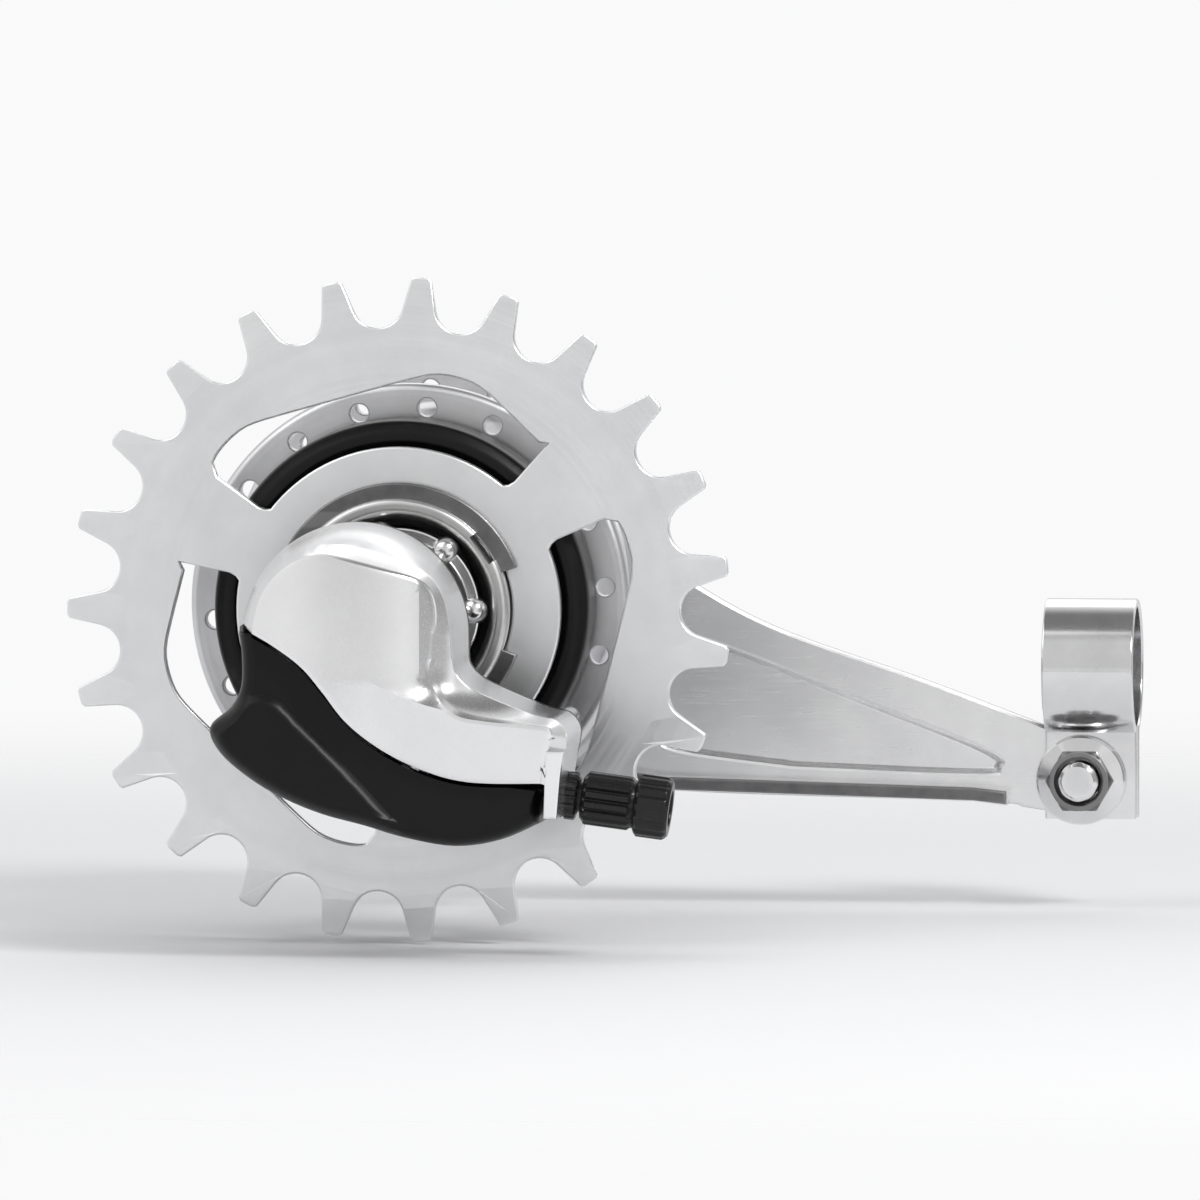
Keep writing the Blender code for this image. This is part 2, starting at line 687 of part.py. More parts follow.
def make_planet_carrier(parent):
    disc = circle(CARRIER_RADIUS, MEDIUM)
    right = plate([disc, circle(8.5, SMALL)], GEAR_RIGHT - 3.4, GEAR_RIGHT - 0.9)
    obj = piece("planet_carrier", right, GREY_STEEL, parent=parent)
    combine(obj, "UNION", plate([disc, circle(AXLE_RADIUS + 0.6, SMALL)], GEAR_LEFT + 0.5, GEAR_LEFT + 2.8))
    posts = []
    for i in range(PLANETS):
        at = polar(14.2, 45 + 360 * i / PLANETS)
        posts.append(plate([circle(3.0, 8, at)], GEAR_RIGHT - 1.5, GEAR_LEFT + 1.5))
    combine(obj, "UNION", joined(posts))
    combine(obj, "UNION", tube(GEAR_LEFT + 2.0, 12.5, 8.5, 12.0, SMALL))
    combine(obj, "UNION", tube(-12.4, GEAR_RIGHT - 2.5, 8.5, 11.0, SMALL))
    holes = []
    for i in range(PLANETS):
        at = polar(ORBIT, 360 * i / PLANETS)
        holes.append(plate([circle(PIN_RADIUS + GAP, 10, at)], -11.0, 9.0))
    combine(obj, "DIFFERENCE", joined(holes))


def make_planets(parent):
    pitch = MODULE * PLANET_TEETH / 2
    for i in range(PLANETS):
        angle = 360 * i / PLANETS
        x, z = polar(ORBIT, angle)
        phase = angle + 180 / PLANET_TEETH
        teeth = gear_outline(PLANET_TEETH, (pitch - DEDENDUM, pitch + ADDENDUM), BACKLASH / 4, phase)
        gear = plate([teeth, circle(PIN_RADIUS + GAP, 12)], GEAR_RIGHT, GEAR_LEFT)
        piece(f"planet_gear_{i + 1}", gear, DARK_STEEL, at=(x, 0, z), parent=parent)
        pin = rod(GEAR_RIGHT - 3.2, GEAR_LEFT + 2.6, PIN_RADIUS, 12)
        piece(f"planet_pin_{i + 1}", pin, BRIGHT_STEEL, at=(x, 0, z), parent=parent)


def make_clutch(parent):
    obj = piece("clutch", tube(-27.7, -18.3, AXLE_RADIUS + 1.2, 9.5, MEDIUM), DARK_STEEL, parent=parent)
    lugs = lugged_circle(9.4, LUG_REACH, LUG_HALF, LUG_ANGLES)
    combine(obj, "UNION", plate([lugs, circle(8.0, MEDIUM)], -26.2, -21.4))


def make_push_rod_and_key():
    piece("push_rod", rod(ROD_END, -31.3, AXLE_BORE - GAP, 16, 0.6), BRIGHT_STEEL)
    piece("axle_key", box((-10.5, -31.0, -1.4), (10.5, -28.0, 1.4)), DARK_STEEL)


# Shift unit

def eased(value, places, heights):
    """The height at a value, on straight lines between the places, which run downwards."""
    for high, low, at_high, at_low in zip(places, places[1:], heights, heights[1:]):
        if value >= low:
            return at_low + (at_high - at_low) * (value - low) / (high - low)
    return heights[-1]


def cover_outline():
    """The cover's rim without the seam, clockwise, and each corner's inset at the shoulder and the face."""
    steps = 16
    first, last = DOME_ANGLES[0], DOME_ANGLES[-1]
    angles = [first + (last - first) * i / steps for i in range(steps + 1)]
    dome = [polar(DOME_RADIUS, angle, DOME_CENTRE) for angle in angles]
    shoulder = [eased(angle, DOME_ANGLES, SHOULDER_INSETS) for angle in angles]
    shoulder += [0.4 * inset for inset in TAIL_INSETS] + [0.1 * inset for inset in END_INSETS]
    face = [eased(angle, DOME_ANGLES, FACE_INSETS) for angle in angles] + list(TAIL_INSETS + END_INSETS)
    return dome + list(TAIL_TOP + TAIL_END), shoulder, face


def seam_line(cut_short, steps=2):
    """The seam from right to left, ending earlier on the left by the given width."""
    curve = smooth_through(SEAM, steps)
    right, left = curve[0][0], curve[-1][0]
    places = [x for x, _ in curve]
    heights = [z for _, z in curve]
    share = (left + cut_short - right) / (left - right)
    moved = [right + (x - right) * share for x in places]
    return [(x, eased(x, places, heights)) for x in moved]


def make_shift_cover():
    rim, shoulder, face = cover_outline()

    def section(along, insets, share=1.0):
        cut_short = insets[0] * share
        seam = seam_line(cut_short)
        moves = [-inset * share for inset in insets] + [0] * len(seam)
        return (along, moved_out(rim + seam_line(0), moves)[: len(rim)] + seam)

    sections = [section(HOUSING_BACK - HOUSING_PLATE - GAP, shoulder, 0.0)]
    sections += [section(WAIST, shoulder, WAIST_SHARE), section(SHOULDER, shoulder)]
    sections += [section(FACE_EDGE, face), section(COVER_FRONT, face, FRONT_SHARE)]
    obj = piece("shift_cover", lofted(sections), SATIN_SILVER)

    def hollow(along, insets, share=1.0):
        walls = [-SHELL_WALL - inset * share for inset in insets]
        seam = seam_line(0)
        return (along, moved_out(rim + seam, walls + [PAST_SEAM] * len(seam)))

    inside = [hollow(HOUSING_BACK, shoulder, 0.0), hollow(WAIST, shoulder, WAIST_SHARE)]
    inside += [hollow(SHOULDER, shoulder), hollow(FACE_EDGE + SHELL_WALL, face)]
    combine(obj, "DIFFERENCE", lofted(inside))
    cut_cable_bore(obj)


def cut_cable_bore(obj):
    bore = rod(-9, 9, AXLE_BORE, 16, 0.1)
    combine(obj, "DIFFERENCE", bore, at=CABLE_POINT, turn=(-CABLE_SLOPE, 0, -90))


def make_shift_housing():
    under = (HOUSING_SIDE + HOUSING_UNDER)[::-1]
    seam = [(x - SEAM_GAP[0], z - SEAM_GAP[1]) for x, z in seam_line(0)[1:-1]]
    seam = seam[::-1] + [HOUSING_CORNER]
    points = list(under) + seam

    def section(along, inset, at_seam=0.0):
        return (along, moved_out(points, [-inset] * len(under) + [at_seam] * len(seam)))

    back = HOUSING_BACK - HOUSING_PLATE
    front = [section(back + 1, 0), section(HOUSING_FRONT + 4, 0)]
    front += [section(HOUSING_FRONT + 1.1, 0.9), section(HOUSING_FRONT, 2.4)]
    obj = piece("shift_housing", lofted(front), BLACK_PLASTIC)
    cavity = [section(back, SHELL_WALL, PAST_SEAM), section(HOUSING_FRONT + 4.5, SHELL_WALL, PAST_SEAM)]
    cavity.append(section(HOUSING_FRONT + SHELL_WALL, SHELL_WALL + 1, PAST_SEAM))
    combine(obj, "DIFFERENCE", lofted(cavity))
    _, edge = section(0, PANEL_EDGE)
    left, right = PANEL_RIDGE[0], PANEL_RIDGE[-1]
    below = [(x, z) for x, z in edge[: len(under)] if left[0] < x < right[0] and z < left[1]]
    panel = smooth_through(PANEL_RIDGE, 2) + below
    combine(obj, "UNION", plate([panel], HOUSING_FRONT - PANEL_RISE, HOUSING_FRONT + 1))
    rim, _, _ = cover_outline()
    outline = rim[:-1] + list(under)
    combine(obj, "UNION", plate([outline, circle(NUT_FLANGE + 1.2, 32)], back, HOUSING_BACK))
    screw_hole = rod(-9, 9, FIXING_RADIUS + GAP, 12, 0.1)
    combine(obj, "DIFFERENCE", screw_hole, at=(*FIXING_SCREW, LEVER_FOOT), turn=(90, 0, 0))
    cut_cable_bore(obj)


def make_bell_crank():
    """The lever on its upright pin: its upper arm pushes the rod and its lower arm takes the cable."""
    x, y = LEVER_PIVOT
    at = (x, y, 0)
    upright = (90, 0, 0)
    shaft = rod(LEVER_FOOT, LEVER_TOP, LEVER_BOSS, 12, 0.2)
    obj = piece("bell_crank_lever", shaft, GREY_STEEL, at=at, turn=upright)
    pad = (0.2 - x, y - ROD_END + GAP + PAD_RADIUS)
    elbow = [(1.7, -0.9), (2.1, 4.0), (0.8, pad[1] + PAD_RADIUS)]
    inside = [(pad[0] + 1.4, pad[1] - 0.8), (-2.4, pad[1] - 0.8), (-2.2, 3.0), (-1.7, -0.9)]
    push_arm = elbow + arc(PAD_RADIUS, 90, 270, 6, pad) + inside
    combine(obj, "UNION", plate([push_arm], -2.6, 2.6))
    eye = (0, -CABLE_ARM)
    cable_arm = capsule((0, 0), eye, LEVER_BOSS + 0.2, 2.2)
    combine(obj, "UNION", plate([cable_arm, circle(1.3, 12, eye)], *CABLE_ARM_SPAN))
    combine(obj, "DIFFERENCE", rod(LEVER_FOOT - 3, LEVER_TOP + 3, LEVER_PIN + GAP, 12))
    piece("lever_pin", rod(-29.6, 6.0, LEVER_PIN, 12), BRIGHT_STEEL, at=at, turn=upright)
    anchor = [(-29.4, 0), (-29.4, 2.0), (-28.3, 2.0), (-28.3, 1.0), (-23.3, 1.0), (-23.3, 2.0)]
    anchor += [(-22.2, 2.0), (-22.2, 0)]
    anchor_at = (x, y + CABLE_ARM, 0)
    piece("cable_anchor", turned(anchor, 12, closed=False), BRIGHT_STEEL, at=anchor_at, turn=upright)
    screw = rod(-28.0, -9.0, FIXING_RADIUS, 12)
    piece("fixing_screw", screw, BRIGHT_STEEL, at=(*FIXING_SCREW, 0), turn=upright)


def make_cable_adjuster():
    """The barrel that takes the shift cable's casing, on its own sloping axis."""
    cable_axis = axis_empty("cable_axis", CABLE_POINT, (-CABLE_SLOPE, 0, -90))
    piece("barrel_locknut", tube(0.3, 2.3, AXLE_BORE, 3.6, SMALL, 0.3), BLACK_PLASTIC, parent=cable_axis)
    barrel = [
        (-5.5, 1.1), (-5.5, 1.9), (-5.1, 2.3), (2.9, 2.3), (2.9, 3.4), (3.3, 3.8), (10.6, 3.8), (10.9, 3.6),
        (11.2, 4.3), (11.6, 4.6), (15.9, 4.6), (16.3, 4.2), (16.3, 2.65), (7.0, 2.65), (7.0, 1.1),
    ]
    piece("adjusting_barrel", turned(barrel, SMALL), BLACK_PLASTIC, parent=cable_axis)


# Back-pedal brake

def make_brake_arm():
    """A pressed arm from the axle to the frame tube's clip, wide at the hub, its lower edge folded."""
    hub = 24.0
    end_radius = 5.6
    upper = smooth_through([(23.0, 7.0), (45.0, -6.5), (72.0, -16.2), (96.5, -25.4)], 3)
    end = arc(end_radius, 75, -100, 6, ARM_END)
    lower = [(79.0, -34.4), (32.0, -33.0), (9.5, -30.3)]
    outline = arc(hub, -100, -342, 24) + upper + end + lower
    bore = circle(BORE_ON_AXLE, 24)
    bolt_hole = circle(CLIP_BOLT + GAP, 16, ARM_END)
    obj = piece("brake_arm", plate([outline, bore, bolt_hole], ARM_FACE, ARM_FACE + ARM_THICK), BRIGHT_STEEL)
    edge = [(13.0, -30.4), (32.0, -32.7), (79.0, -34.1), (84.0, -34.7)]
    fold = edge + [(x, z + 2.2) for x, z in reversed(edge)]
    combine(obj, "UNION", plate([fold], ARM_FACE - 5, ARM_FACE + 1))


def make_arm_clip():
    """A strap round the frame tube, whose two ears hold the arm's end between them."""
    x, y, z = CLIP_CENTRE
    ear = ARM_THICK / 2 + GAP
    outer = CLIP_BORE + CLIP_SHEET
    foot = ARM_END[1] - z - 6.0
    open_angle = math.degrees(math.asin(ear / CLIP_BORE))
    outer_angle = math.degrees(math.asin((ear + CLIP_SHEET) / outer))
    outline = arc(outer, 270 + outer_angle, 630 - outer_angle, 28)
    outline += [(-ear - CLIP_SHEET, foot), (-ear, foot)]
    outline += arc(CLIP_BORE, 630 - open_angle, 270 + open_angle, 28)
    outline += [(ear, foot), (ear + CLIP_SHEET, foot)]
    strap = plate([outline], -CLIP_WIDTH / 2, CLIP_WIDTH / 2)
    obj = piece("brake_arm_clip", strap, BRIGHT_STEEL, at=CLIP_CENTRE, turn=(0, 0, -90))
    hole = rod(-9, 9, CLIP_BOLT + GAP, 16, 0.1)
    combine(obj, "DIFFERENCE", hole, at=(0, ARM_END[0] - x, ARM_END[1] - z), turn=(0, 0, 90))
    bolt_face = y + ear + CLIP_SHEET + GAP
    nut_face = y - ear - CLIP_SHEET - GAP
    at = (ARM_END[0], 0, ARM_END[1])
    bolt = turned(
        [
            (nut_face - 7.0, 0), (nut_face - 7.0, CLIP_BOLT - 0.5), (nut_face - 6.5, CLIP_BOLT),
            (bolt_face, CLIP_BOLT),
            (bolt_face, 4.9), (bolt_face + 3.4, 4.9), (bolt_face + 4.0, 4.3), (bolt_face + 4.0, 0),
        ],
        20,
        closed=False,
    )
    piece("clip_bolt", bolt, BRIGHT_STEEL, at=at)
    piece("clip_nut", nut(nut_face, -5.0, 5.0, CLIP_BOLT + GAP), BRIGHT_STEEL, at=at)


def make_brake():
    cone = [(13.0, AXLE_RADIUS + 0.6), (13.0, 11.6), (13.5, 12.0), (19.5, 12.0), (31.0, 15.2), (32.0, 15.2)]
    piece("brake_cone", turned([*cone, (32.0, AXLE_RADIUS + 0.6)], MEDIUM), GREY_STEEL)
    for i in range(SHOES):
        middle = 90 + 360 * i / SHOES
        x, z = polar(20.0, middle)
        outline = arc(SHELL_BORE - 0.6, middle - 50, middle + 50, 12)
        outline += arc(16.2, middle + 50, middle - 50, 12)
        local = [(px - x, pz - z) for px, pz in outline]
        piece(f"brake_shoe_{i + 1}", plate([local], 14.0, 34.5), BRONZE, at=(x, 0, z))


def main():
    clear_scene()
    make_axle()
    make_axle_fittings()
    make_sun_gear()
    make_clutch_spring()
    wheel = axis_empty("wheel_axis", (0, 0, 0))
    make_hub_shell(wheel)
    make_right_ball_cup(wheel)
    drive = axis_empty("driver_axis", (0, 0, 0))
    make_driver(drive)
    make_sprocket(drive)
    make_driver_trim(drive)
    make_clutch(drive)
    make_ring_gear(drive)
    make_pawls(drive)
    carrier = axis_empty("carrier_axis", (0, 0, 0))
    make_planet_carrier(carrier)
    make_planets(carrier)
    make_push_rod_and_key()
    bearings = axis_empty("bearing_axis", (0, 0, 0))
    ball_ring("ball_retainer_right", -47.0, 11.6, 2.2, 7, bearings)
    ball_ring("ball_retainer_middle", -33.2, 20.1, 1.6, 9, bearings)
    ball_ring("ball_retainer_left", 39.4, 20.5, 1.4, 9, bearings)
    make_shift_cover()
    make_shift_housing()
    make_bell_crank()
    make_cable_adjuster()
    make_brake_arm()
    make_arm_clip()
    make_brake()


main()
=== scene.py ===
import json
import math

import bmesh
import bpy
from mathutils import Euler, Matrix, Vector
from mathutils.geometry import delaunay_2d_cdt, tessellate_polygon


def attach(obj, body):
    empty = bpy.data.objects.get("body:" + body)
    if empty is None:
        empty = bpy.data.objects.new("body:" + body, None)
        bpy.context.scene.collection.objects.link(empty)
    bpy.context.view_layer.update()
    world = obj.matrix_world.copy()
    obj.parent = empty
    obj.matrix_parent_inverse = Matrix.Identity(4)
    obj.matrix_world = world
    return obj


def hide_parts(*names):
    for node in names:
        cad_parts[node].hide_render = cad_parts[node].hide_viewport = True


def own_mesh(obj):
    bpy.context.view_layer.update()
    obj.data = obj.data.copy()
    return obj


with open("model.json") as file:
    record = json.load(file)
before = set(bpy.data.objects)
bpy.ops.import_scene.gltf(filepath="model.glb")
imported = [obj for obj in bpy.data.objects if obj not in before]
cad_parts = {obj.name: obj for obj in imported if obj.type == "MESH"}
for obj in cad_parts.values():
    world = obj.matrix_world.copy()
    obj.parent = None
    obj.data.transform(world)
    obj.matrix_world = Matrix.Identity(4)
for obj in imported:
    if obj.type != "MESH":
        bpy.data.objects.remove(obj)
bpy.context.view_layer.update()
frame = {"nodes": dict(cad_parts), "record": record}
slots = {entry["node"]: entry["material_slot"] for entry in frame["record"]["subparts"]}

# Sizes are in millimetres: X to the front, Y along the axle, Z up
MM = 0.001

# Shift unit, seen from the drive side
DOME_CENTRE = (-3.6, -2.2)
DOME_RADIUS = 16.9
# The face's upper edge is straight between 97 and 42 degrees, so its inset swells there
DOME_ANGLES = (165, 150, 125, 104, 97, 88, 78, 68, 60, 54, 48, 42, 36, 28, 16, 4)
SHOULDER_INSETS = (2.1, 1.8, 1.7, 1.8, 2.1, 2.4, 2.6, 2.6, 2.3, 1.9, 1.4, 0.8, 0.4, 0.4, 0.7, 1)
FACE_INSETS = (3.3, 2.8, 2.7, 2.95, 3.75, 4.35, 4.63, 4.55, 4.2, 3.76, 3.13, 2.26, 1.4, 1.5, 2.3, 3)
DOME_STEPS, CURVE_STEPS, SEAM_STEPS = 72, 5, 6
# The tail's shoulder takes this share of the face's inset
TAIL_SHOULDER = 0.1
# Points of the tail's rim, each with the inset of the front face there
TAIL = (
    (13.3, -4.5, 3.2), (13.6, -6.6, 3.8), (15.5, -8.6, 4.4), (18.5, -10.1, 3.6), (22, -11.6, 2.5),
    (25.5, -13, 1.3), (28.4, -13.7, 1.2), (30, -15.4, 2.1), (30.2, -17.5, 2.6), (29.4, -21, 2.2),
    (28.9, -23, 1.95),
)
# Corners of the bar across the tail's end, which reaches below the seam
END_BAR = ((30, -18.2), (29.4, -22.4), (28.8, -28.6), (26.6, -28.6), (27.1, -18.2))
SEAM = (
    (26.5, -23.2), (15.7, -23.1), (8.5, -21.3), (2.3, -18.2), (-2.8, -14.1), (-6.4, -9.5),
    (-9.5, -5.9), (-13.6, -2.9), (-17.7, -0.6), (-20.3, 0.8),
)
# The dome's foot and the tail's front edge, between which a shelf opens towards the right
FOOT = ((17, -7.1), (9.4, -7.5), (4.5, -7.8), (0.85, -8))
LEDGE = (
    (28.5, -14.3), (24, -14.2), (17, -13.45), (11.8, -12.15), (9, -11.4), (5.05, -10.1), (0.85, -8),
)
# The dome's face falls away from its crown, faster right of the cheek, and as a flank right of the fold
CROWN, CROWN_SPAN = -4.5, 96
CHEEK, CHEEK_CURVE = 5, 0.012
FOLD, FLANK_SLOPE, FLANK_DEPTH = 8.1, 0.42, 5.5
# The tail's face sinks to the right, and tilts back below its ledge, more and more to the right
TAIL_SINK, SINK_RATE = 0.25, 0.44
TAIL_TILT, TILT_START, TILT_WIDTH = 0.14, -9, 15
HOUSING_SIDE = ((-19.6, -1.2), (-19.2, -4.5), (-19.3, -9), (-20.8, -12.2))
HOUSING_UNDER = (
    (-24, -15.3), (-22.4, -19.2), (-17.7, -23.2), (-12.4, -26.2), (-6.8, -28.4), (-0.7, -30),
    (5.5, -31.8), (12.9, -33), (19.8, -32), (25.8, -29.4),
)
HOUSING_CORNER = (25.7, -24.1)
# The housing keeps this gap to the seam, and leaves out this many of its points at each end
SEAM_GAP, SEAM_TRIM = (0.25, 0.35), 3
PANEL_RIDGE = (
    (-24.6, -18.4), (-21.6, -13.9), (-19.9, -11.4), (-16.5, -10.2), (-13.4, -10.9), (-10.8, -13.3),
    (-7.2, -16.9), (-2.1, -22), (3, -27.6), (4.6, -29.2), (8.4, -33.6),
)
# The rest of the panel's outline lies outside the housing
PANEL_OUTSIDE = ((8.4, -45), (-40, -45), (-40, -18.4))
PANEL_RISE, RIDGE_WIDTH = 1, 1.6
COVER_BACK, SHOULDER, FACE_EDGE = -72.8, -92.5, -97.45
# The cover's levels on Y, each with its share of the shoulder's and of the face's insets
COVER_LEVELS = (
    (COVER_BACK, 0, 0), (-78, 0.1, 0), (-84, 0.36, 0), (-89, 0.7, 0), (-91.6, 0.93, 0),
    (-92.35, 1, 0.01), (-92.75, 1, 0.06), (-95.1, 1, 0.52), (-96.75, 1, 0.86), (-97, 1, 0.93),
    (FACE_EDGE, 1, 1.1),
)
# Up to this level the cover's wall is open along the seam, apart from a lip at the seam's left end
OPEN_LEVELS, LIP_STEPS = 4, 4
# The front's rounded edge, and the lines that its mesh follows: the fold, the shelf and the edge
EDGE_WIDTH, EDGE_RISE = 0.9, 0.08
FACE_SPACING = 0.7
FOLD_STEP, FOLD_POINTS = 0.5, 40
FOLD_SIDES, FOLD_CLEAR = (0.6, 1.2), 1.1
SHELF_STEP, SHELF_POINTS = 0.6, 24
SHELF_SHARES = (0, 0.15, 0.35, 0.6, 1)
EDGE_LINES = (0.3, 0.6, 0.9)
# The end bar's levels on Y, each with its inset; those marked 1 follow the tail's tilt
END_BAR_LEVELS = (
    (COVER_BACK, 0, 0), (SHOULDER, 0, 0), (-96.6, 0.05, 1), (-96.95, 0.15, 1), (-97.1, 0.4, 1),
)
HOUSING_BACK, HOUSING_PLATE, HOUSING_FRONT = -70, 2.5, -93.5
HOUSING_INNER = HOUSING_BACK - HOUSING_PLATE
# The housing's levels on Y, each with the inset of its underside and its share of the panel's rise
HOUSING_LEVELS = (
    (HOUSING_INNER + 1, 0, 0), (-80, 0, 0), (-89.4, 0, 0), (-91.1, 0.12, 0), (-92.3, 0.5, 0.25),
    (-93.05, 1.15, 0.7), (-93.35, 1.7, 0.9), (HOUSING_FRONT, 2.2, 1),
)
HOUSING_SPACING = 1.1
RIDGE_LINES = (0.4, 0.8, 1.2, 1.6)
SEAM_INSET = 0.35
SHELL_WALL, COVER_WALL = 1.8, 1.2
# Half of a drill's length, and how squarely a face lies across Y to count as flat
DRILL_REACH = 9
FLAT = 0.9999
# A rounded corner takes at most this share of each side
CORNER_SHARE = 0.45
# Faces of forms that are joined lie at least this far apart
APART = 0.06
# Levels of the room inside the housing, each with its wall; the room reaches past the seam
ROOM_LEVELS = (
    (HOUSING_INNER - APART, SHELL_WALL), (HOUSING_FRONT + 4.5, SHELL_WALL),
    (HOUSING_FRONT + 2, SHELL_WALL + 1),
)
ROOM_OVER = 3
# Gap between pieces on the axle or on the clip's bolt
GAP = 0.3
FIXING_SCREW = (-6, -76, -28.4)
CABLE_POINT = (28.5, -82, -25.6)
CABLE_SLOPE = 7.6
CABLE_HOLE, SCREW_HOLE = 2.7, 2.3
PLATE_HOLE = 11.4

# Sprocket
TEETH = 23
CHAIN_PITCH = 12.7
ROLLER = 3.95
ROLLER_ARC = (248, 112)
TIP = 50.3
# Corners of a tooth's tip: degrees from its middle, and how far below the tip's circle
TIP_CORNERS = ((-1.75, 0.35), (-1.1, 0), (1.1, 0), (1.75, 0.35))
TOOTH_FOOT, TOOTH_TAPER = 45.2, 0.42
SPROCKET = (-46.15, -43.85)
SPROCKET_BORE = 17.3
TAB_REACH, TAB_HALF = 15.9, 2.2
ARMS = (36, 156, 276)
# A window's ends in degrees from its arm, its flat sides with softened corners, and its inner arc
WINDOW_SPAN = (12, 108)
WINDOW_FLAT, WINDOW_REACH, WINDOW_TURN = 33, 36.2, 39.8
WINDOW_SHARPNESS = 2.2
WINDOW_INNER, WINDOW_TRIM = 24.6, 2
# Corners at a window's ends: radius, and degrees from the end
WINDOW_CORNERS = ((34, 0), (26.2, 0), (25.2, 0.7))
# Circle that splits the sprocket's faces into teeth and web
FACE_SPLIT = 41.8

# Profiles about the axle are (y, radius) rows
DRIVER = (
    (-50, 15.1), (-50, 16.5), (-49.5, 17), (-48.1, 17), (-48.1, 16.1), (-46.5, 16.1), (-46.5, 17),
    (-43.5, 17), (-43.5, 18.6), (-35.6, 18.6), (-34.4, 18.3), (-33.2, 18.2), (-32, 18.4), (-30.6, 18.6),
    (-30, 17.3), (-19.2, 17.3), (-19.2, 15.6), (-30.8, 15.6), (-30.8, 12.4), (-42, 12.4), (-43.4, 12.8),
    (-45, 13.7), (-47.2, 14.1), (-49.2, 14.6),
)
# Slots and tabs are blocks: left, right and half width
DRIVER_NOTCH = (15.6, 20, 2.5)
NOTCH_DEPTH = (-51, -43.55)
SNAP_RING = (-47.9, -46.7)
SNAP_RING_RADII, SNAP_RING_ENDS = (19.3, 16.4), (20, 340)
DRIVE_CAP = (
    (-42.3, 18.9), (-42.3, 21.4), (-41.7, 22), (-41.7, 24.6), (-42.3, 25.2), (-42.3, 26.6), (-41.4, 28.2),
    (-40.2, 28.5), (-32.6, 28.5), (-32.6, 27.4), (-39.6, 27.2), (-40.8, 26), (-40.8, 18.9),
)
DRIVE_CONE = (
    (-55.7, 5.3), (-55.7, 7.9), (-55.2, 8.4), (-50, 8.4), (-48.6, 8.8), (-47, 9.1), (-45.6, 9.9),
    (-44.4, 11.2), (-42.6, 11.2), (-42.6, 5.3),
)
LEFT_CONE = (
    (35, 5.3), (35, 16.6), (36.8, 17.6), (38.4, 18.6), (39.4, 18.8), (40.6, 18.3), (41.4, 17.4),
    (41.4, 12.6), (42, 12), (51.7, 12), (51.7, 5.3),
)
LEFT_CAP = (
    (42, 12.3), (42, 21), (41.3, 23.4), (41.3, 24.8), (41.9, 25.2), (43, 23.6), (43.4, 21.2),
    (43.4, 12.3),
)

# Right bearing
BALLS, BALL, BALL_POLE = 7, 2.2, 87
BALL_CIRCLE, BALL_ROW = 11.6, -47
CAGE = ((-48.1, 10.7), (-48.1, 12.5), (-45.9, 12.5), (-45.9, 10.7))

# Spring round the axle, between the sun gear and the clutch: it shortens as the clutch comes in
SPRING = (-17.5, -7.6)
SPRING_RADIUS, SPRING_WIRE = 6.9, 0.45
SPRING_TURNS, SPRING_STEPS, SPRING_SIDES = 5, 24, 10

# Hub shell
SHELL_RIGHT = ((-35.5, 23.8), (-35.5, 25.2), (-34.8, 25.8), (-29.6, 26), (-28.6, 27.6), (-28.6, 28.05))
SHELL_BARREL = (
    (-25.4, 28.05), (-25.4, 27.6), (-24.4, 26.2), (-18, 25.5), (-6, 25.1), (9, 25.1), (21, 25.5),
    (27.4, 26.2), (28.4, 27.6), (28.4, 28.05),
)
SHELL_LEFT = (
    (31.6, 28.05), (31.6, 27.6), (32.6, 26.1), (40.2, 25.8), (40.8, 25.2), (40.8, 22), (39.4, 22.2),
    (38.2, 22.9), (37.6, 23.8),
)
SHELL_SIDES = 180
FLANGES = (-27, 30)
# A flange's rim up to its middle on Y, which the other side mirrors
FLANGE_RIM = ((-1.6, 31.9), (-1.6, 32.6), (-1, 33.3))
SPOKE_CIRCLE = 29.75
SPOKES = 18
# A hole in a flange: depth from its face, and radius
SPOKE_HOLE = ((0, 1.62), (0.2, 1.46), (0.45, 1.35))

# Axle and its nuts; left and right differ by the sign of Y
AXLE_FLAT = 4.3
AXLE_END_FLAT = 4
AXLE_BORE, BORE_END = 2.6, -21
AXLE_THREAD = (5, 1, 0.55)
AXLE_SIDES = 96
KEY_SLOT = (-6, 6, 1.7)
KEY_SLOT_ENDS = (-32, -21.3)
NUT_BORE, NUT_SIDES = 5.3, 144
FRAME_FACE, RIGHT_LOCKNUT, LOCKNUT_APOTHEM = 60, 56, 9.5
WASHER_FACE, WASHER_THICK, WASHER_RADIUS, WASHER_FLAT = 66, 2, 11, 4.6
WASHER_TAB, TAB_DEPTH, TAB_OVERLAP = (-10.5, -6.6, 2.6), 4.5, 1
NUT_FACE, NUT_LENGTH, NUT_APOTHEM, NUT_COLLAR = 68.3, 10, 7.5, 10.2

# Brake arm and its clip
ARM_FACE = 52
ARM_THICK = 3
ARM_END = (95.2, -30.9)
ARM_DISC, ARM_DISC_ARC = 24, (-100, -342)
ARM_TIP, ARM_TIP_ARC = 5.6, (75, -100)
ARM_UPPER = ((23, 7), (45, -6.5), (72, -16.2), (96.5, -25.4))
ARM_LOWER = ((86, -35.2), (79, -34.4), (32, -33), (9.5, -30.3))
# The arm's rounded edge: distance from its face on Y, and inset
ARM_EDGE = ((0.5, 0), (0.15, 0.15), (0, 0.5))
RECESS = (
    ((31.5, -14.5), (29.6, -20), (30, -24.5), (32.8, -27.2), (50.6, -29.6)),
    ((50.6, -29.6), (78.9, -30.6), (82.8, -29.4), (80.8, -26.2), (60, -18)),
    ((60, -18), (38.5, -9.8), (33.8, -10.2), (31.5, -14.5)),
)
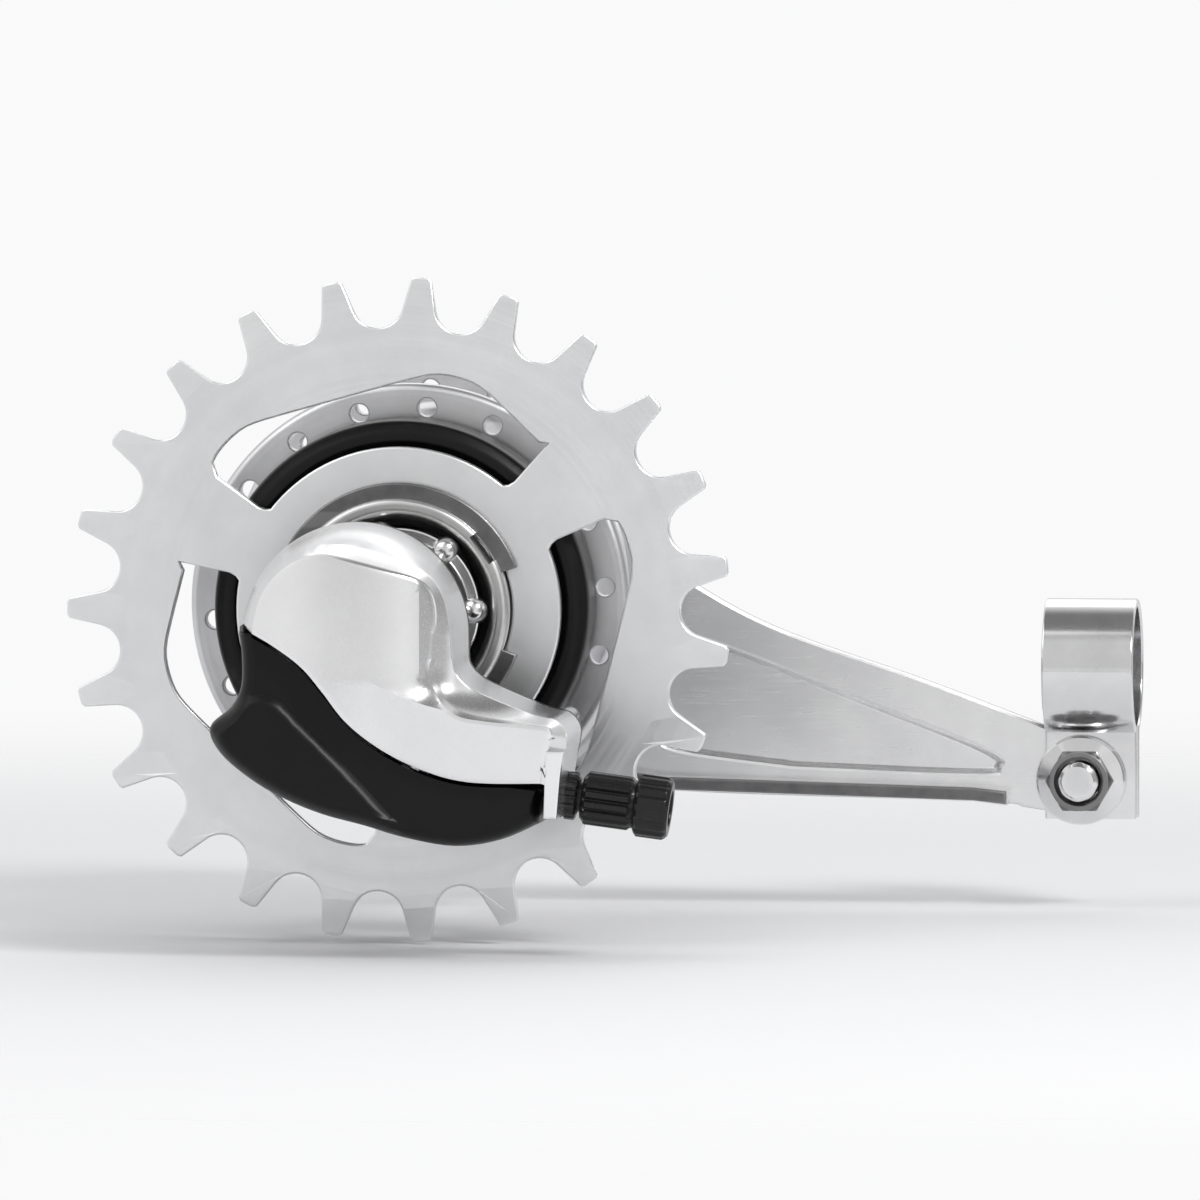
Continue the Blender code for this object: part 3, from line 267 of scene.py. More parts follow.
# The recess sinks inwards from its outline: inset, and depth
RECESS_WALL = ((0, 0), (0.4, 0.15), (0.9, 0.85), (1.3, 1.1))
ARM_LIP = ((13, -30.4), (32, -32.7), (79, -34.1), (84, -34.7))
LIP_HEIGHT, LIP_WIDTH = 2.2, 5
CLIP_CENTRE = (96.6, 53.5, -13.7)
CLIP_SHEET, CLIP_BORE, CLIP_HALF_WIDTH, CLIP_EAR = 1.2, 9.2, 7, 6
CLIP_HOLE = 3.3
# The clip's nut: length, half of its width across flats, bore and collar; then how far from its face its
# painted shade begins
CLIP_NUT, CLIP_NUT_SHADE_START = (-5, 4.5, CLIP_HOLE, 6.8), 2.2


# Outlines are lists of (x, z) points

def evenly(first, last, steps):
    return [first + (last - first) * i / steps for i in range(steps + 1)]


def clamped(value):
    return max(0.0, min(1.0, value))


def polar(radius, degrees, centre=(0, 0)):
    angle = math.radians(degrees)
    return (centre[0] + radius * math.cos(angle), centre[1] + radius * math.sin(angle))


def arc(radius, start, stop, steps, centre=(0, 0)):
    return [polar(radius, angle, centre) for angle in evenly(start, stop, steps)]


def circle(radius, sides, centre=(0, 0)):
    return arc(radius, 0, 360, sides, centre)[:-1]


def block(left, right, half):
    return [(left, -half), (right, -half), (right, half), (left, half)]


def rotated(points, degrees):
    turn = Matrix.Rotation(math.radians(degrees), 2)
    return [tuple(turn @ Vector(point)) for point in points]


def both_ends(rows, low, high):
    """Rows of (distance, value) inwards from the low end, and then out to the high end."""
    first = [(low + far, value) for far, value in rows]
    return first + [(high - far, value) for far, value in reversed(rows)]


def smooth_through(points, steps):
    """Points along a Catmull-Rom curve; each can carry more values than two."""
    ends = [points[0], *points, points[-1]]
    curve = []
    for knots in zip(ends, ends[1:], ends[2:], ends[3:]):
        for i in range(steps):
            t = i / steps
            weights = (
                (-t + 2 * t**2 - t**3) / 2, (2 - 5 * t**2 + 3 * t**3) / 2,
                (t + 4 * t**2 - 3 * t**3) / 2, (-(t**2) + t**3) / 2,
            )
            curve.append(tuple(sum(w * v for w, v in zip(weights, values)) for values in zip(*knots)))
    return curve + [tuple(points[-1])]


def eased(value, places, heights):
    """The height at a value, straight between places that fall."""
    for high, low, at_high, at_low in zip(places, places[1:], heights, heights[1:]):
        if value >= low:
            return at_low + (at_high - at_low) * (value - low) / (high - low)
    return heights[-1]


def area(outline):
    pairs = zip(outline, outline[1:] + outline[:1])
    return sum(a[0] * b[1] - b[0] * a[1] for a, b in pairs) / 2


def inset(outline, distance):
    """The outline moved towards its inside by a distance, or by one for each corner."""
    each = distance if isinstance(distance, list) else [distance] * len(outline)
    side = 1 if area(outline) > 0 else -1
    moved = []
    for before, here, after, far in zip(
        outline[-1:] + outline[:-1], outline, outline[1:] + outline[:1], each
    ):
        normals = []
        for start, end in ((before, here), (here, after)):
            along = Vector((end[0] - start[0], end[1] - start[1])).normalized()
            normals.append(Vector((-along.y, along.x)) * side)
        middle = normals[0] + normals[1]
        middle = middle.normalized() if middle.length > 1e-6 else normals[0]
        stretch = far / max(0.5, middle.dot(normals[0]))
        moved.append((here[0] + middle.x * stretch, here[1] + middle.y * stretch))
    return moved


def inside(point, outline):
    x, z = point
    odd = False
    for (ax, az), (bx, bz) in zip(outline, outline[1:] + outline[:1]):
        if (az > z) != (bz > z) and x < (bx - ax) * (z - az) / (bz - az) + ax:
            odd = not odd
    return odd


def distance_to(point, outline, closed=True):
    here = Vector(point)
    best = 1e9
    ends = outline[1:] + outline[:1] if closed else outline[1:]
    for a, b in zip(outline, ends):
        start, along = Vector(a), Vector(b) - Vector(a)
        share = clamped((here - start).dot(along) / max(along.length_squared, 1e-12))
        best = min(best, (start + along * share - here).length)
    return best


def softened(profile, cut, steps=4, closed=True):
    """A (y, radius) profile with each corner rounded off by up to the cut."""
    count = len(profile)
    soft = []
    for i, here in enumerate(profile):
        if not closed and i in (0, count - 1):
            soft.append(here)
            continue
        before, after = Vector(profile[i - 1]), Vector(profile[(i + 1) % count])
        corner = Vector(here)
        start, end = [
            corner + (other - corner).normalized() * min(cut, (other - corner).length * CORNER_SHARE)
            for other in (before, after)
        ]
        for k in range(steps + 1):
            t = k / steps
            soft.append(tuple(start * (1 - t) ** 2 + corner * 2 * t * (1 - t) + end * t**2))
    return soft


class Form:
    """Points in millimetres and the faces between them."""

    def __init__(self, open_back=False):
        self.points = []
        self.faces = []
        self.creases = []
        self.open_back = open_back

    def ring(self, places):
        start = len(self.points)
        self.points += [tuple(place) for place in places]
        return list(range(start, len(self.points)))

    def level(self, outline, along):
        return self.ring([(x, along, z) for x, z in outline])

    def loft(self, rings, closed=False):
        for first, second in zip(rings, rings[1:] + (rings[:1] if closed else [])):
            self.strip(first + first[:1], second + second[:1])

    def strip(self, first, second):
        """Faces between two open rows of points."""
        self.faces += zip(first, first[1:], second[1:], second)

    def cap(self, *loops):
        """Fills a flat area: the first loop is its rim and the rest are holes."""
        flat = [[Vector((self.points[i][0], self.points[i][2], 0)) for i in loop] for loop in loops]
        order = [i for loop in loops for i in loop]
        for corners in tessellate_polygon(flat):
            self.faces.append(tuple(order[i] for i in corners))

    def slab(self, loops, low, high, edge=0.3, steps=3, seam=None):
        """A plate along Y with rounded edges: a rim, then holes; a seam splits its faces in two."""
        angles = evenly(0, math.pi / 2, steps)
        quarter = [(edge * (1 - math.cos(a)), edge * (1 - math.sin(a))) for a in angles]
        levels = both_ends(quarter, low, high)
        ends = []
        for number, loop in enumerate(loops):
            sign = 1 if number == 0 else -1
            rings = [self.level(inset(loop, sign * far), along) for along, far in levels]
            self.loft(rings)
            ends.append((rings[0], rings[-1]))
        for number, along in enumerate((low, high)):
            rings = [pair[number] for pair in ends]
            if seam:
                ring = self.level(seam, along)
                self.cap(rings[0], ring)
                self.cap(ring, *rings[1:])
            else:
                self.cap(*rings)
        return self

    def stack(self, rings):
        """A solid through rings, filled at both ends."""
        self.loft(rings)
        self.cap(rings[0])
        self.cap(rings[-1])

    def turned(self, rows, sides):
        """Rings about Y from (y, radius) rows; a radius can be a function of the angle in degrees."""
        rings = []
        for along, radius in rows:
            turns = evenly(0, 360, sides)[:-1]
            reach = [radius(turn) if callable(radius) else radius for turn in turns]
            rings.append(self.level([polar(*place) for place in zip(reach, turns)], along))
        return rings

    def spun(self, rows, sides, closed=True):
        """A solid about Y: its profile is a loop, or runs from end to end if it isn't closed."""
        rings = self.turned(rows, sides)
        if closed:
            self.loft(rings, closed)
        else:
            self.stack(rings)
        return self

    def relief(self, rim, heights, spacing, lines=(), creased=()):
        """Fills a rim with a fine surface whose place on Y is heights(x, z); it keeps the lines as edges."""
        margin, clear, row_rise = 0.2, 0.6 * spacing, 0.866 * spacing
        loop = [(self.points[i][0], self.points[i][2]) for i in rim]
        places = [Vector(point) for point in loop]
        edges = [(i, (i + 1) % len(loop)) for i in range(len(loop))]
        fixed = list(loop)
        for line in lines:
            kept = [point for point in line if inside(point, loop) and distance_to(point, loop) > margin]
            self.creases += [(x, heights(x, z), z) for x, z in kept if line in creased]
            first = len(places)
            places += [Vector(point) for point in kept]
            fixed += kept
            edges += [(first + i, first + i + 1) for i in range(len(kept) - 1)]
        xs, zs = [p[0] for p in loop], [p[1] for p in loop]
        row, z = 0, min(zs)
        while z < max(zs):
            x = min(xs) + (0.5 * spacing if row % 2 else 0)
            while x < max(xs):
                if all((x - fx) ** 2 + (z - fz) ** 2 > clear**2 for fx, fz in fixed):
                    if inside((x, z), loop):
                        places.append(Vector((x, z)))
                x += spacing
            z += row_rise
            row += 1
        made, _, triangles, sources, *_ = delaunay_2d_cdt(places, edges, [list(range(len(loop)))], 1, 1e-6)
        known = {}
        for index, ((x, z), came_from) in enumerate(zip(made, sources)):
            shared = [i for i in came_from if i < len(loop)]
            known[index] = rim[shared[0]] if shared else self.ring([(x, heights(x, z), z)])[0]
            if not came_from:
                for i, (start, end) in enumerate(zip(loop, loop[1:] + loop[:1])):
                    if distance_to((x, z), [start, end], closed=False) < 1e-3:
                        self.split(rim[i], rim[(i + 1) % len(rim)], known[index])
        for corners in triangles:
            self.faces.append(tuple(known[i] for i in corners))

    def split(self, first, second, middle):
        """Puts a point into the edge between two others, in the faces made so far."""
        for number, face in enumerate(self.faces):
            for i in range(len(face)):
                if {face[i], face[(i + 1) % len(face)]} == {first, second}:
                    self.faces[number] = face[: i + 1] + (middle,) + face[i + 1 :]
                    break

    def mesh(self, name, place=None, sharp=35):
        mesh = bpy.data.meshes.new(name)
        mesh.from_pydata([Vector(point) * MM for point in self.points], [], self.faces)
        if place is not None:
            mesh.transform(place)
        work = bmesh.new()
        work.from_mesh(mesh)
        bmesh.ops.remove_doubles(work, verts=work.verts, dist=1e-7)
        loose = [vert for vert in work.verts if not vert.link_faces]
        bmesh.ops.delete(work, geom=loose, context="VERTS")
        bmesh.ops.recalc_face_normals(work, faces=work.faces)
        inward = work.calc_volume(signed=True) < 0
        if self.open_back:
            inward = min(work.faces, key=lambda face: face.calc_center_median().y).normal.y > 0
        if inward:
            bmesh.ops.reverse_faces(work, faces=work.faces)
        work.to_mesh(mesh)
        work.free()
        shaded(mesh, sharp, self.creases)
        return mesh


def drill(radius, sides, place):
    """A cutter for a round hole along the Y axis of a place."""
    form = Form().spun([(-DRILL_REACH, radius), (DRILL_REACH, radius)], sides, closed=False)
    form.points = [tuple(place @ Vector(point)) for point in form.points]
    return form


def shaded(mesh, sharp, creases=()):
    """Smooth shading, apart from edges over an angle, the edges of flat faces across Y, and creases."""
    folded = {tuple(round(value, 2) for value in point) for point in creases}
    mesh.shade_smooth()
    mesh.set_sharp_from_angle(angle=math.radians(sharp))
    work = bmesh.new()
    work.from_mesh(mesh)
    for edge in work.edges:
        flat = [abs(face.normal.y) > FLAT for face in edge.link_faces]
        ends = [tuple(round(value / MM, 2) for value in vert.co) for vert in edge.verts]
        if any(flat) and not all(flat) or all(end in folded for end in ends):
            edge.smooth = False
    work.to_mesh(mesh)
    work.free()


def settled(obj):
    """Takes the object's modifiers into its mesh."""
    bpy.context.view_layer.update()
    graph = bpy.context.evaluated_depsgraph_get()
    whole = bpy.data.meshes.new_from_object(obj.evaluated_get(graph))
    obj.modifiers.clear()
    obj.data = whole


def placed(name, data):
    obj = bpy.data.objects.new(name, data)
    bpy.context.scene.collection.objects.link(obj)
    return obj


def dress(name, form, material, node, body="axle", place=None, sharp=35, cuts=(), wall=0):
    """Makes a piece from a form, joins or cuts other forms, and lets it ride in a CAD node's place."""
    obj = placed(name, form.mesh(name, place, sharp))
    obj.data.materials.append(material)
    if wall:
        shell = obj.modifiers.new("wall", "SOLIDIFY")
        shell.thickness = wall * MM
        shell.offset = -1
        settled(obj)
    for number, (operation, other) in enumerate(cuts):
        helper = placed(f"{name}_{operation.lower()}_{number}", other.mesh(name, place, sharp))
        helper.data.materials.append(material)
        modifier = obj.modifiers.new(operation, "BOOLEAN")
        modifier.operation = operation
        modifier.object = helper
        modifier.solver = "EXACT"
        settled(obj)
        bpy.data.objects.remove(helper)
    if cuts or wall:
        shaded(obj.data, sharp, form.creases)
    even = obj.modifiers.new("even_shading", "WEIGHTED_NORMAL")
    even.keep_sharp = True
    even.weight = 100
    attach(obj, body)
    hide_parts(node)
    return obj


def paint_shade(obj, front):
    """Painted shade: the faces in front of a place on Y take the dark steel material, which stands in for
    shadow.
    """
    obj.data.materials.append(dark_steel)
    for polygon in obj.data.polygons:
        if polygon.center.y < front * MM:
            polygon.material_index = 1


# Materials

# Ranges of the noise that patches and grain spread over, and of the pointiness that counts as an edge
PATCHES, GRAIN, EDGES = (0.34, 0.66), (0.3, 0.7), (0.515, 0.56)
# A worn edge is brighter than the lighter colour; a drawn sheet's grain runs along X
WEAR_GAIN, WEAR_LIFT = 1.25, 0.04
DRAWN_OUT = (0.06, 1.0, 1.0)
COAT_ROUGHNESS = 0.15


def plug(tree, node, values):
    """Gives each input named a value, or a link where the value is a socket."""
    for key, value in values:
        if isinstance(value, bpy.types.NodeSocket):
            tree.links.new(value, node.inputs[key])
        else:
            node.inputs[key].default_value = value


def linked(tree, kind, values=(), **settings):
    node = tree.nodes.new("ShaderNode" + kind)
    for name, value in settings.items():
        setattr(node, name, value)
    plug(tree, node, values)
    return node


def mapped(tree, value, low, high, at_low=0.0, at_high=1.0, **settings):
    names = ("Value", "From Min", "From Max", "To Min", "To Max")
    values = zip(names, (value, low, high, at_low, at_high))
    return linked(tree, "MapRange", values, **settings).outputs[0]


def mixed(tree, factor, first, second):
    """A blend of two colours, which a Mix node takes by the number of their sockets."""
    node = linked(tree, "Mix", [("Factor", factor), (6, first), (7, second)], data_type="RGBA")
    return node.outputs[2]


def vector(tree, operation, values):
    return linked(tree, "VectorMath", values, operation=operation).outputs


def noise(tree, at, scale, detail, roughness=0.5):
    values = [("Vector", at), ("Scale", scale), ("Detail", detail), ("Roughness", roughness)]
    return linked(tree, "TexNoise", values).outputs["Fac"]


def new_material(name):
    made = bpy.data.materials.new(name)
    made.use_nodes = True
    return made, made.node_tree, made.node_tree.nodes["Principled BSDF"]


def surface(
    name, dark, light, roughness, metallic=1.0, grain=3.0, depth=0.01, mottle=0.1, lay="even",
    spread=0.06, worn=0.0, coat=0.0, strength=0.25, gloss=0.5,
):
    """A finish with patchy colour, fine grain and edge wear; lay turns the grain into rings or long lines."""
    made, tree, shader = new_material(name)
    coords = linked(tree, "TexCoord").outputs["Object"]
    mm = vector(tree, "SCALE", [(0, coords), ("Scale", 1 / MM)])[0]
    grain_at = mm
    if lay == "turned":
        parts = linked(tree, "SeparateXYZ", [(0, mm)]).outputs
        flat = linked(tree, "CombineXYZ", [(0, parts[0]), (2, parts[2])]).outputs[0]
        reach = vector(tree, "LENGTH", [(0, flat)])["Value"]
        grain_at = linked(tree, "CombineXYZ", [(0, reach), (1, parts[1])]).outputs[0]
    elif lay == "drawn":
        grain_at = vector(tree, "MULTIPLY", [(0, mm), (1, DRAWN_OUT)])[0]
    patches = noise(tree, mm, mottle, detail=5.0, roughness=0.6)
    fine = noise(tree, grain_at, grain, detail=3.0, roughness=0.55)
    shown = mixed(tree, mapped(tree, patches, *PATCHES), (*dark, 1), (*light, 1))
    rough = mapped(tree, fine, *GRAIN, roughness - spread, roughness + spread)
    if worn:
        shape = linked(tree, "NewGeometry")
        edge = mapped(tree, shape.outputs["Pointiness"], *EDGES, 0.0, worn)
        bare = [min(1.0, value * WEAR_GAIN + WEAR_LIFT) for value in light]
        shown = mixed(tree, edge, shown, (*bare, 1))
    bump = linked(tree, "Bump", [("Height", fine), ("Strength", strength), ("Distance", depth * MM)])
    plug(tree, shader, [
        ("Metallic", metallic), ("Specular IOR Level", gloss), ("Coat Weight", coat),
        ("Coat Roughness", COAT_ROUGHNESS), ("Base Color", shown), ("Roughness", rough),
        ("Normal", bump.outputs[0]),
    ])
    return made


satin_silver = surface(
    "satin_silver", (0.83, 0.83, 0.84), (0.88, 0.88, 0.885), 0.24, grain=5.0, depth=0.008, mottle=0.06,
    spread=0.04, worn=0.3,
)
plated_grey = surface(
    "plated_grey", (0.77, 0.775, 0.785), (0.83, 0.835, 0.84), 0.34, depth=0.008, lay="turned",
)
zinc_steel = surface("zinc_steel", (0.58, 0.58, 0.58), (0.68, 0.68, 0.67), 0.33, mottle=0.25, lay="turned")
bright_steel = surface(
    "bright_steel", (0.70, 0.70, 0.71), (0.78, 0.78, 0.78), 0.17, grain=4.0, depth=0.004, mottle=0.15,
    spread=0.05, worn=0.3,
)
pressed_steel = surface(
    "pressed_steel", (0.78, 0.78, 0.79), (0.85, 0.85, 0.85), 0.25, depth=0.006, lay="drawn", spread=0.03,
    strength=0.1,
)
cast_alloy = surface(
    "cast_alloy", (0.62, 0.62, 0.63), (0.71, 0.71, 0.72), 0.36, grain=2.0, mottle=0.12, lay="turned",
)
# Dark steel is the snap ring's own finish; it is also laid on some faces of the arm and the clip nut as
# painted shade
dark_steel = surface("dark_steel", (0.14, 0.14, 0.145), (0.20, 0.195, 0.195), 0.36, mottle=0.3, worn=0.8)
black_plastic = surface(
    "black_plastic", (0.003, 0.003, 0.0032), (0.0045, 0.0045, 0.0048), 0.33, 0.0, grain=7.0, depth=0.02,
    mottle=0.2, spread=0.05, strength=0.3, gloss=0.22,
)
black_knurl = surface(
    "black_knurl", (0.006, 0.006, 0.0065), (0.009, 0.009, 0.0095), 0.30, 0.0, grain=6.0, depth=0.015,
    mottle=0.4, coat=0.1, gloss=0.3,
)
sintered_bronze = surface(
    "sintered_bronze", (0.38, 0.25, 0.11), (0.52, 0.36, 0.17), 0.42, grain=6.0, depth=0.02, mottle=0.5,
)


# Shift unit

def smoothed(values, passes=6):
    for _ in range(passes):
        inner = [(a + 2 * b + c) / 4 for a, b, c in zip(values, values[1:], values[2:])]
        values = values[:1] + inner + values[-1:]
    return values


def cover_rim():
    """The cover's rim without the seam, clockwise: its points, and each one's insets at shoulder and face."""
    angles = evenly(DOME_ANGLES[0], DOME_ANGLES[-1], DOME_STEPS)
    rim = [polar(DOME_RADIUS, angle, DOME_CENTRE) for angle in angles]
    shoulder = [eased(angle, DOME_ANGLES, SHOULDER_INSETS) for angle in angles]
    face = [eased(angle, DOME_ANGLES, FACE_INSETS) for angle in angles]
    for x, z, far in smooth_through(TAIL, CURVE_STEPS):
        rim.append((x, z))
        shoulder.append(TAIL_SHOULDER * far)
        face.append(far)
    return rim, smoothed(shoulder), smoothed(face)


def along_line(x, line):
    return eased(x, [place for place, _ in line], [height for _, height in line])


def seam_line(cut_short=0):
    """The seam from right to left, ending earlier on the left by the given width."""
    curve = smooth_through(SEAM, SEAM_STEPS)
    right, left = curve[0][0], curve[-1][0]
    share = (left + cut_short - right) / (left - right)
    moved = [right + (x - right) * share for x, _ in curve]
    return [(x, along_line(x, curve)) for x in moved]


def crown_fall(x):
    return (x - CROWN) ** 2 / CROWN_SPAN


def set_back(x, z):
    """How far the front lies behind its highest line: the dome's face is rounded, the tail's nearly flat."""
    cheek = CHEEK_CURVE * max(0.0, x - CHEEK) ** 2
    dome = min(FLANK_DEPTH, crown_fall(x) + cheek + FLANK_SLOPE * max(0.0, x - FOLD))
    start = LEDGE[-1][0]
    ledge = along_line(max(x, start), LEDGE)
    tilt = TAIL_TILT * max(0.0, ledge - z) * clamped((x - TILT_START) / TILT_WIDTH)
    if x <= start:
        return dome + tilt
    tail = crown_fall(start) + TAIL_SINK * (1 - math.exp(-SINK_RATE * (x - start)))
    share = clamped((z - ledge) / (along_line(x, FOOT) - ledge))
    return tail + tilt + (dome - tail) * (1 - (1 - share) ** 2)


def shift_cover():
    rim, shoulder, face = cover_rim()
    seam = seam_line()
    form = Form(open_back=True)
    rows = []
    for along, low_share, high_share in COVER_LEVELS:
        depths = [a * low_share + (b - a) * high_share for a, b in zip(shoulder, face)]
        edge = inset(rim + seam, depths + [0.0] * len(seam))[: len(rim)]
        outline = edge + seam_line(depths[0])
        row = form.ring([(x, along + set_back(x, z) * high_share, z) for x, z in outline])
        rows.append((row[: len(rim)], row))
    for number, ((edge, whole), (next_edge, next_whole)) in enumerate(zip(rows, rows[1:])):
        if number < OPEN_LEVELS:
            form.strip(whole[-LIP_STEPS:] + edge, next_whole[-LIP_STEPS:] + next_edge)
        else:
            form.loft([whole, next_whole])
    front = rows[-1][1]
    loop = [(form.points[i][0], form.points[i][2]) for i in front]

    def heights(x, z):
        near = clamped(distance_to((x, z), loop) / EDGE_WIDTH)
        return FACE_EDGE - EDGE_RISE * (1 - (1 - near) ** 2) + set_back(x, z)

    foot = along_line(FOLD, FOOT)
    fold = [(FOLD, foot + FOLD_STEP * i) for i in range(1, FOLD_POINTS)]
    lines = [fold]
    for share in SHELF_SHARES:
        places = [LEDGE[-1][0] + SHELF_STEP * (i + (share > 0)) for i in range(SHELF_POINTS)]
        lines.append([
            (x, along_line(x, LEDGE) * (1 - share) + along_line(x, FOOT) * share) for x in places
        ])
    for step in FOLD_SIDES:
        beside = [(x + step, z) for x, z in fold]
        lines.append([point for point in beside if distance_to(point, loop) > FOLD_CLEAR])
    lines += [inset(loop, far) for far in EDGE_LINES]
    form.relief(front, heights, FACE_SPACING, lines, lines[:2])
    form.creases += [form.points[i] for i in front]
    dress("shift_cover_shell", form, satin_silver, "shift_cover", sharp=40, wall=COVER_WALL)


def cover_end_bar():
    bar = Form()
    rings = []
    for along, far, share in END_BAR_LEVELS:
        outline = inset(list(END_BAR), far)
        rings.append(bar.ring([(x, along + share * TAIL_TILT * (LEDGE[0][1] - z), z) for x, z in outline]))
    bar.stack(rings)
    bore = drill(CABLE_HOLE, 24, cable_place())
    dress("shift_cover_end_bar", bar, satin_silver, "shift_cover", sharp=22, cuts=[("DIFFERENCE", bore)])


def cable_place():
    turn = Euler((math.radians(-CABLE_SLOPE), 0, math.radians(-90))).to_matrix().to_4x4()
    return Matrix.Translation(CABLE_POINT) @ turn


def housing_outline():
    under = smooth_through((HOUSING_SIDE + HOUSING_UNDER)[::-1], CURVE_STEPS)
    seam = [(x - SEAM_GAP[0], z - SEAM_GAP[1]) for x, z in seam_line()[SEAM_TRIM:-SEAM_TRIM]]
    return under, seam[::-1] + [HOUSING_CORNER]


def panel_rise(x, z, ridge, panel):
    """How far the lower panel stands out: it rises round along its ridge."""
    if not inside((x, z), panel):
        return 0.0
    share = clamped(distance_to((x, z), ridge, closed=False) / RIDGE_WIDTH)
    return PANEL_RISE * math.sin(share * math.pi / 2)


def shift_housing():
    under, seam = housing_outline()
    points = under + seam
    ridge = smooth_through(PANEL_RIDGE, CURVE_STEPS)
    panel = ridge + list(PANEL_OUTSIDE)
    form = Form()
    rings = []
    for along, far, share in HOUSING_LEVELS:
        outline = inset(points, [far] * len(under) + [min(far, SEAM_INSET)] * len(seam))
        places = [(x, along - share * panel_rise(x, z, ridge, panel), z) for x, z in outline]
        rings.append(form.ring(places))
    form.loft(rings)
    form.cap(rings[0])

    def heights(x, z):
        return HOUSING_FRONT - panel_rise(x, z, ridge, panel)

    lines = [ridge] + [inset(panel, far)[: len(ridge)] for far in RIDGE_LINES]
    form.relief(rings[-1], heights, HOUSING_SPACING, lines)
    room = Form()
    room.stack([
        room.level(inset(points, [wall] * len(under) + [-ROOM_OVER] * len(seam)), along)
        for along, wall in ROOM_LEVELS
    ])
    rim, _, _ = cover_rim()
    outline = inset(rim[:-1] + under, APART)
    plate = Form().slab([outline, circle(PLATE_HOLE, 64)], HOUSING_INNER, HOUSING_BACK, edge=0.35, steps=2)
    upright = Matrix.Translation(FIXING_SCREW) @ Matrix.Rotation(math.radians(90), 4, "X")
    holes = [drill(SCREW_HOLE, 24, upright), drill(CABLE_HOLE, 24, cable_place())]
    cuts = [("DIFFERENCE", room), ("UNION", plate), *[("DIFFERENCE", hole) for hole in holes]]
    dress("shift_housing_shell", form, black_plastic, "shift_housing", sharp=30, cuts=cuts)


def fluted(radius, depth, flutes, flat=0.5):
    """A grip's radius at an angle: it dips between lands that take up the flat share."""
    def reach(angle):
        wave = 0.5 + 0.5 * math.cos(math.radians(angle * flutes))
        return radius - depth * max(0.0, (wave - flat) / (1 - flat))

    return reach


def cable_adjuster():
    place = Matrix.Scale(MM, 4) @ cable_place() @ Matrix.Scale(1 / MM, 4)
    lock = fluted(3.6, 0.25, 18)
    rows = [(0.3, 2.7), (0.3, 3.1), (0.6, lock), (2.0, lock), (2.3, 3.1), (2.3, 2.7)]
    dress("barrel_lock_ring", Form().spun(rows, 144), black_knurl, "barrel_locknut", place=place)
    grip = fluted(4.05, 0.5, 16)
    collar = fluted(4.75, 0.3, 14, 0.3)
    rows = [(-5.5, 1.1), (-5.5, 1.9), (-5.1, 2.3), (2.9, 2.3), (2.9, 3.2), (3.2, 3.5)]
    rows += [(3.6, grip), (10.1, grip), (10.5, 3.7), (10.9, 3.6), (11.2, 4.3), (11.6, collar), (15.5, collar)]
    rows += [(16.0, 4.45), (16.3, 4.1), (16.3, 2.9), (15.9, 2.65), (7.0, 2.65), (7.0, 1.1)]
    dress("cable_barrel", Form().spun(rows, 192), black_knurl, "adjusting_barrel", "barrel", place)


# Drive side

def sprocket():
    pitch = CHAIN_PITCH / (2 * math.sin(math.pi / TEETH))
    start, stop = ROLLER_ARC
    outline = []
    for tooth in range(TEETH):
        middle = 360 * tooth / TEETH
        outline += arc(ROLLER, middle + start, middle + stop, 12, polar(pitch, middle))
        half = middle + 180 / TEETH
        outline += [polar(TIP - drop, half + turn) for turn, drop in TIP_CORNERS]
    bore = []
    side = math.degrees(math.asin(TAB_HALF / SPROCKET_BORE))
    for angle, following in zip(ARMS, ARMS[1:] + (ARMS[0] + 360,)):
        bore += rotated([(TAB_REACH, -TAB_HALF), (TAB_REACH, TAB_HALF)], angle)
        bore += arc(SPROCKET_BORE, angle + side, following - side, 30)
    windows = []
    for arm in ARMS:
        start, stop = arm + WINDOW_SPAN[0], arm + WINDOW_SPAN[1]
        window = []
        for angle in evenly(start, stop, 48)[1:-1]:
            lean = (angle - arm - WINDOW_TURN) % 60 - 30
            over = WINDOW_REACH - WINDOW_FLAT / math.cos(math.radians(lean))
            soft = math.log(1 + math.exp(WINDOW_SHARPNESS * over)) / WINDOW_SHARPNESS
            window.append(polar(WINDOW_REACH - soft, angle))
        window += [polar(radius, stop - turn) for radius, turn in WINDOW_CORNERS]
        window += arc(WINDOW_INNER, stop - WINDOW_TRIM, start + WINDOW_TRIM, 30)
        window += [polar(radius, start + turn) for radius, turn in reversed(WINDOW_CORNERS)]
        windows.append(window)
    form = Form().slab([outline, bore, *windows], *SPROCKET, seam=circle(FACE_SPLIT, 138))
    middle = sum(SPROCKET) / 2
    for i, (x, y, z) in enumerate(form.points):
        out = (math.hypot(x, z) - TOOTH_FOOT) / (TIP - TOOTH_FOOT)
        if out > 0:
            form.points[i] = (x, middle + (y - middle) * (1 - TOOTH_TAPER * out), z)
    dress("chain_sprocket", form, plated_grey, "sprocket", "driver", sharp=30)


def lathed(name, profile, material, node, body="axle", cut=0.3, sides=96, cuts=()):
    dress(name, Form().spun(softened(profile, cut), sides), material, node, body, cuts=cuts)


def drive_side():
    notches = []
    for angle in ARMS:
        corners = rotated(block(*DRIVER_NOTCH), angle)
        notches.append(("DIFFERENCE", Form().slab([corners], *NOTCH_DEPTH, edge=0.05, steps=1)))
    lathed("chain_driver", DRIVER, zinc_steel, "driver", "driver", cut=0.35, sides=112, cuts=notches)
    (outer, inner), (start, stop) = SNAP_RING_RADII, SNAP_RING_ENDS
    ring = arc(outer, start, stop, 80) + arc(inner, stop, start, 80)
    dress("snap_ring_wire", Form().slab([ring], *SNAP_RING), dark_steel, "snap_ring", "driver")
    lathed("drive_dust_cap", DRIVE_CAP, black_plastic, "right_dust_cap", "driver", cut=0.5, sides=128)
    lathed("drive_cone", DRIVE_CONE, zinc_steel, "right_cone")


